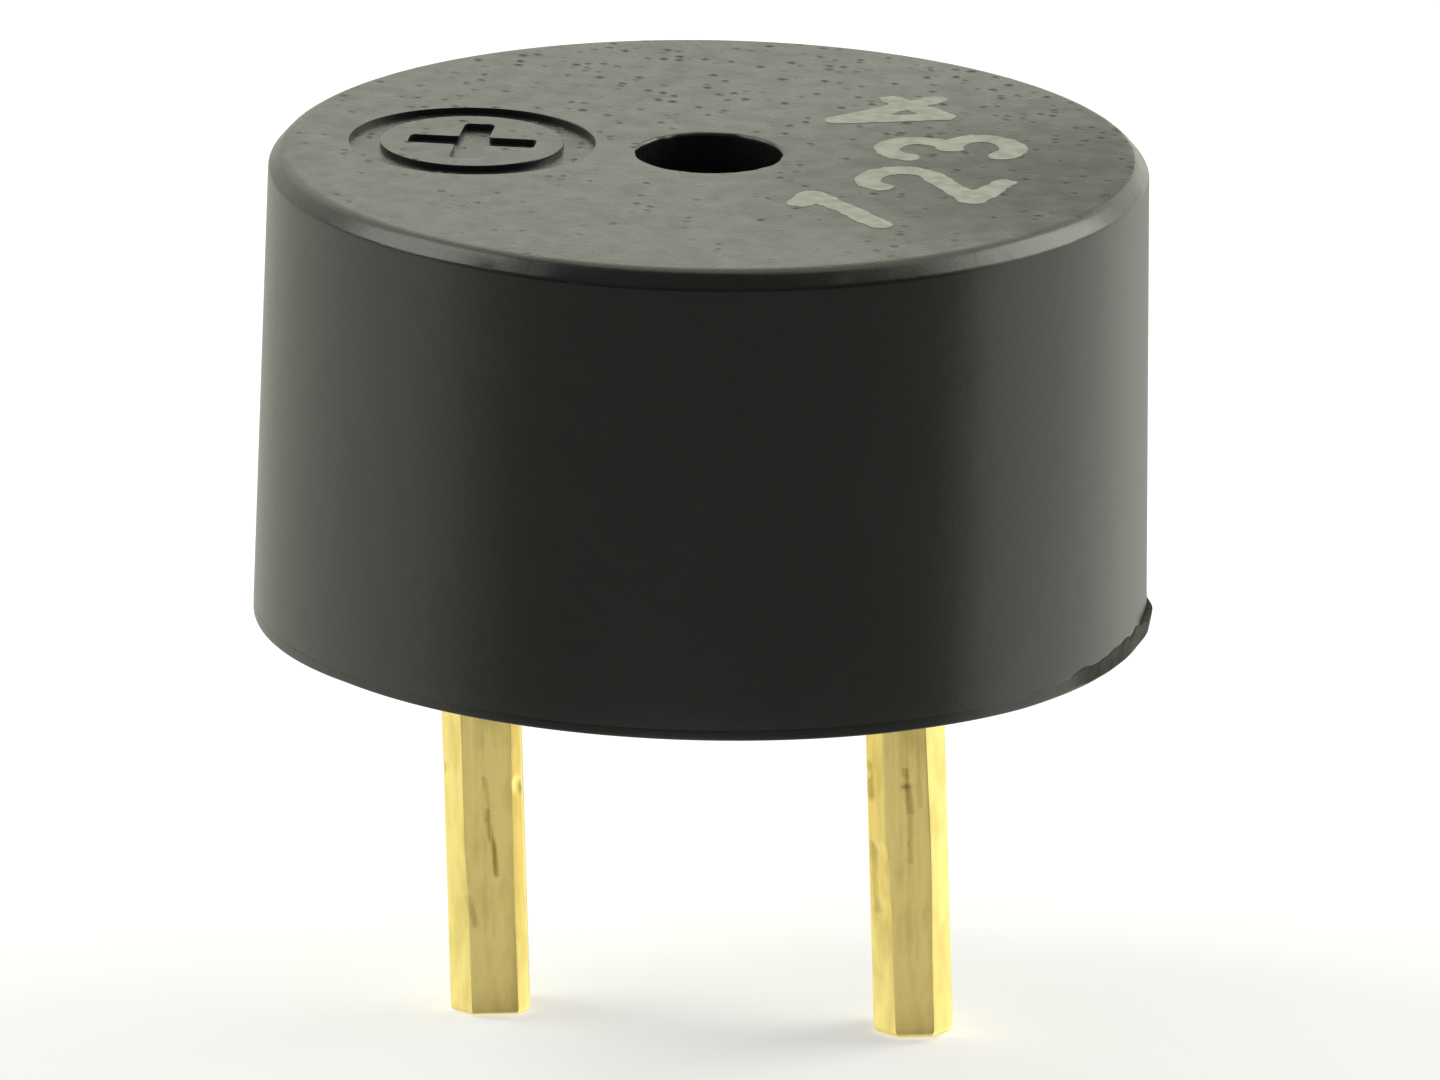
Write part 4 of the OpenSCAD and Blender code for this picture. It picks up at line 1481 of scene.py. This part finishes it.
# Heights of the way a ray goes: the floor ends, and the white side ends
FLOOR_ENDS, SIDE_ENDS = (-0.18, -0.08), (0.12, 0.40)
# How far a way points to the right: the left side's white fades out, and the right side's in
LEFT_ENDS, RIGHT_STARTS = (-1, -0.5), (-0.15, 0.3)
# Where the dark side ends on the left and on the right, in degrees from the camera's side, each
# with its softness. Higher up, the dark goes further round on the left; behind on the right,
# the white dims towards the floor.
DARK_LEFT, DARK_HIGH_LEFT, DARK_RIGHT, BACK_RIGHT = (-64, 36), (-130, 22), (74, 8), (150, 40)
print("dark side from", DARK_LEFT[0], "to", DARK_RIGHT[0], "degrees")

# %% World
def studio_world():
    """White surroundings with a dark side, and even ambient light for matt surfaces."""
    world = bpy.data.worlds.new("studio")
    bpy.context.scene.world = world
    world.use_nodes = True
    world.node_tree.nodes.clear()
    node = partial(add_node, world.node_tree)
    # Turned so that X points to the camera's side and Y to the camera's right
    way = node("VectorRotate", {"Vector": node("TexCoord", out="Generated"),
                                "Angle": math.pi / 2 - VIEW_AZIMUTH}, rotation_type="Z_AXIS")
    frontward, rightward, upward = node("SeparateXYZ", {0: way}, out=(0, 1, 2))
    # Angle round the object from the camera's side: left is negative, right is positive
    angle = node("Math", {0: rightward, 1: frontward}, operation="ARCTAN2")
    left, high_left, right, back_right = [
        node("MapRange", span(angle, math.radians(middle) - math.radians(soft) / 2,
                              math.radians(middle) + math.radians(soft) / 2), **SOFT_STEP)
        for middle, soft in (DARK_LEFT, DARK_HIGH_LEFT, DARK_RIGHT, BACK_RIGHT)]
    past_floor, past_side = [node("MapRange", span(upward, *ends), **SOFT_STEP)
                             for ends in (FLOOR_ENDS, SIDE_ENDS)]
    from_left = node("Mix", {0: past_side, 2: left, 3: high_left})
    dark = node("Math", {0: from_left, 1: right}, operation="SUBTRACT", use_clamp=True)
    dark_side = node("Mix", tones(past_floor, DARK_LOW, DARK_LEVEL), **COLOUR)
    dark_side = node("Mix", tones(past_side, dark_side, DARK_HIGH), **COLOUR)
    white = node("Mix", tones(node("MapRange", span(rightward, *LEFT_ENDS)),
                              WHITE_LEFT, WHITE_BACK_LEFT), **COLOUR)
    white = node("Mix", tones(node("MapRange", span(rightward, *RIGHT_STARTS)),
                              white, WHITE_RIGHT), **COLOUR)
    white = node("Mix", tones(past_side, white, WHITE_HIGH), **COLOUR)
    dimmed = node("Math", {0: back_right, 1: past_floor}, operation="SUBTRACT", use_clamp=True)
    white = node("Mix", tones(dimmed, white, WHITE_BELOW), **COLOUR)
    mirror_view = node("Mix", tones(dark, white, dark_side), **COLOUR)
    camera_ray, glossy, transmitted = node(
        "LightPath", out=("Is Camera Ray", "Is Glossy Ray", "Is Transmission Ray"))
    mirrored = node("Math", {0: glossy, 1: transmitted}, operation="MAXIMUM")
    seen = node("Mix", tones(mirrored, AMBIENT, mirror_view), **COLOUR)
    seen = node("Mix", tones(camera_ray, seen, (1, 1, 1, 1)), **COLOUR)
    node("OutputWorld", {"Surface": node("Background", {"Color": seen, "Strength": 1.0})})
    print("world has", len(world.node_tree.nodes), "nodes")


studio_world()

# %% [markdown]
# Two softboxes draw the bright ends of the rounded top edge. Their place is given by the angle
# round the object, the height angle and the distance; their power follows from their size and
# the brightness they should show when mirrored.

# %% Softboxes
LAMP_DISTANCE = 0.3
LAMP_COLOUR = (0.97, 1.0, 0.88)


def softbox(name, turn, up, wide, tall, brightness):
    """A lamp that looks at the object and shows this brightness in a mirror. It stands at the
    first two angles, seen from the camera's side, and fills the other two, all in degrees."""
    way = bearing(math.radians(turn) + VIEW_AZIMUTH, math.radians(up))
    lamp = bpy.data.lights.new(name, "AREA")
    lamp.shape, lamp.color = "RECTANGLE", LAMP_COLOUR
    lamp.size, lamp.size_y = [2 * LAMP_DISTANCE * math.tan(math.radians(angle) / 2)
                              for angle in (wide, tall)]
    # An area lamp's radiance is its power over pi times its area
    lamp.energy = brightness * math.pi * lamp.size * lamp.size_y
    box = bpy.data.objects.new(name, lamp)
    bpy.context.collection.objects.link(box)
    box.matrix_world = (Matrix.Translation(way * LAMP_DISTANCE)
                        @ way.to_track_quat("Z", "Y").to_matrix().to_4x4())
    print(name, "is", round(lamp.size, 3), "m wide with", round(lamp.energy, 3), "W")


softbox("softbox_left", -101, 44, 30, 34, 4.0)
softbox("softbox_right", 112, 34, 34, 34, 4.0)

# %% Colour management
bpy.context.scene.view_settings.view_transform = "Standard"
print("colours are shown by the view transform", bpy.context.scene.view_settings.view_transform)
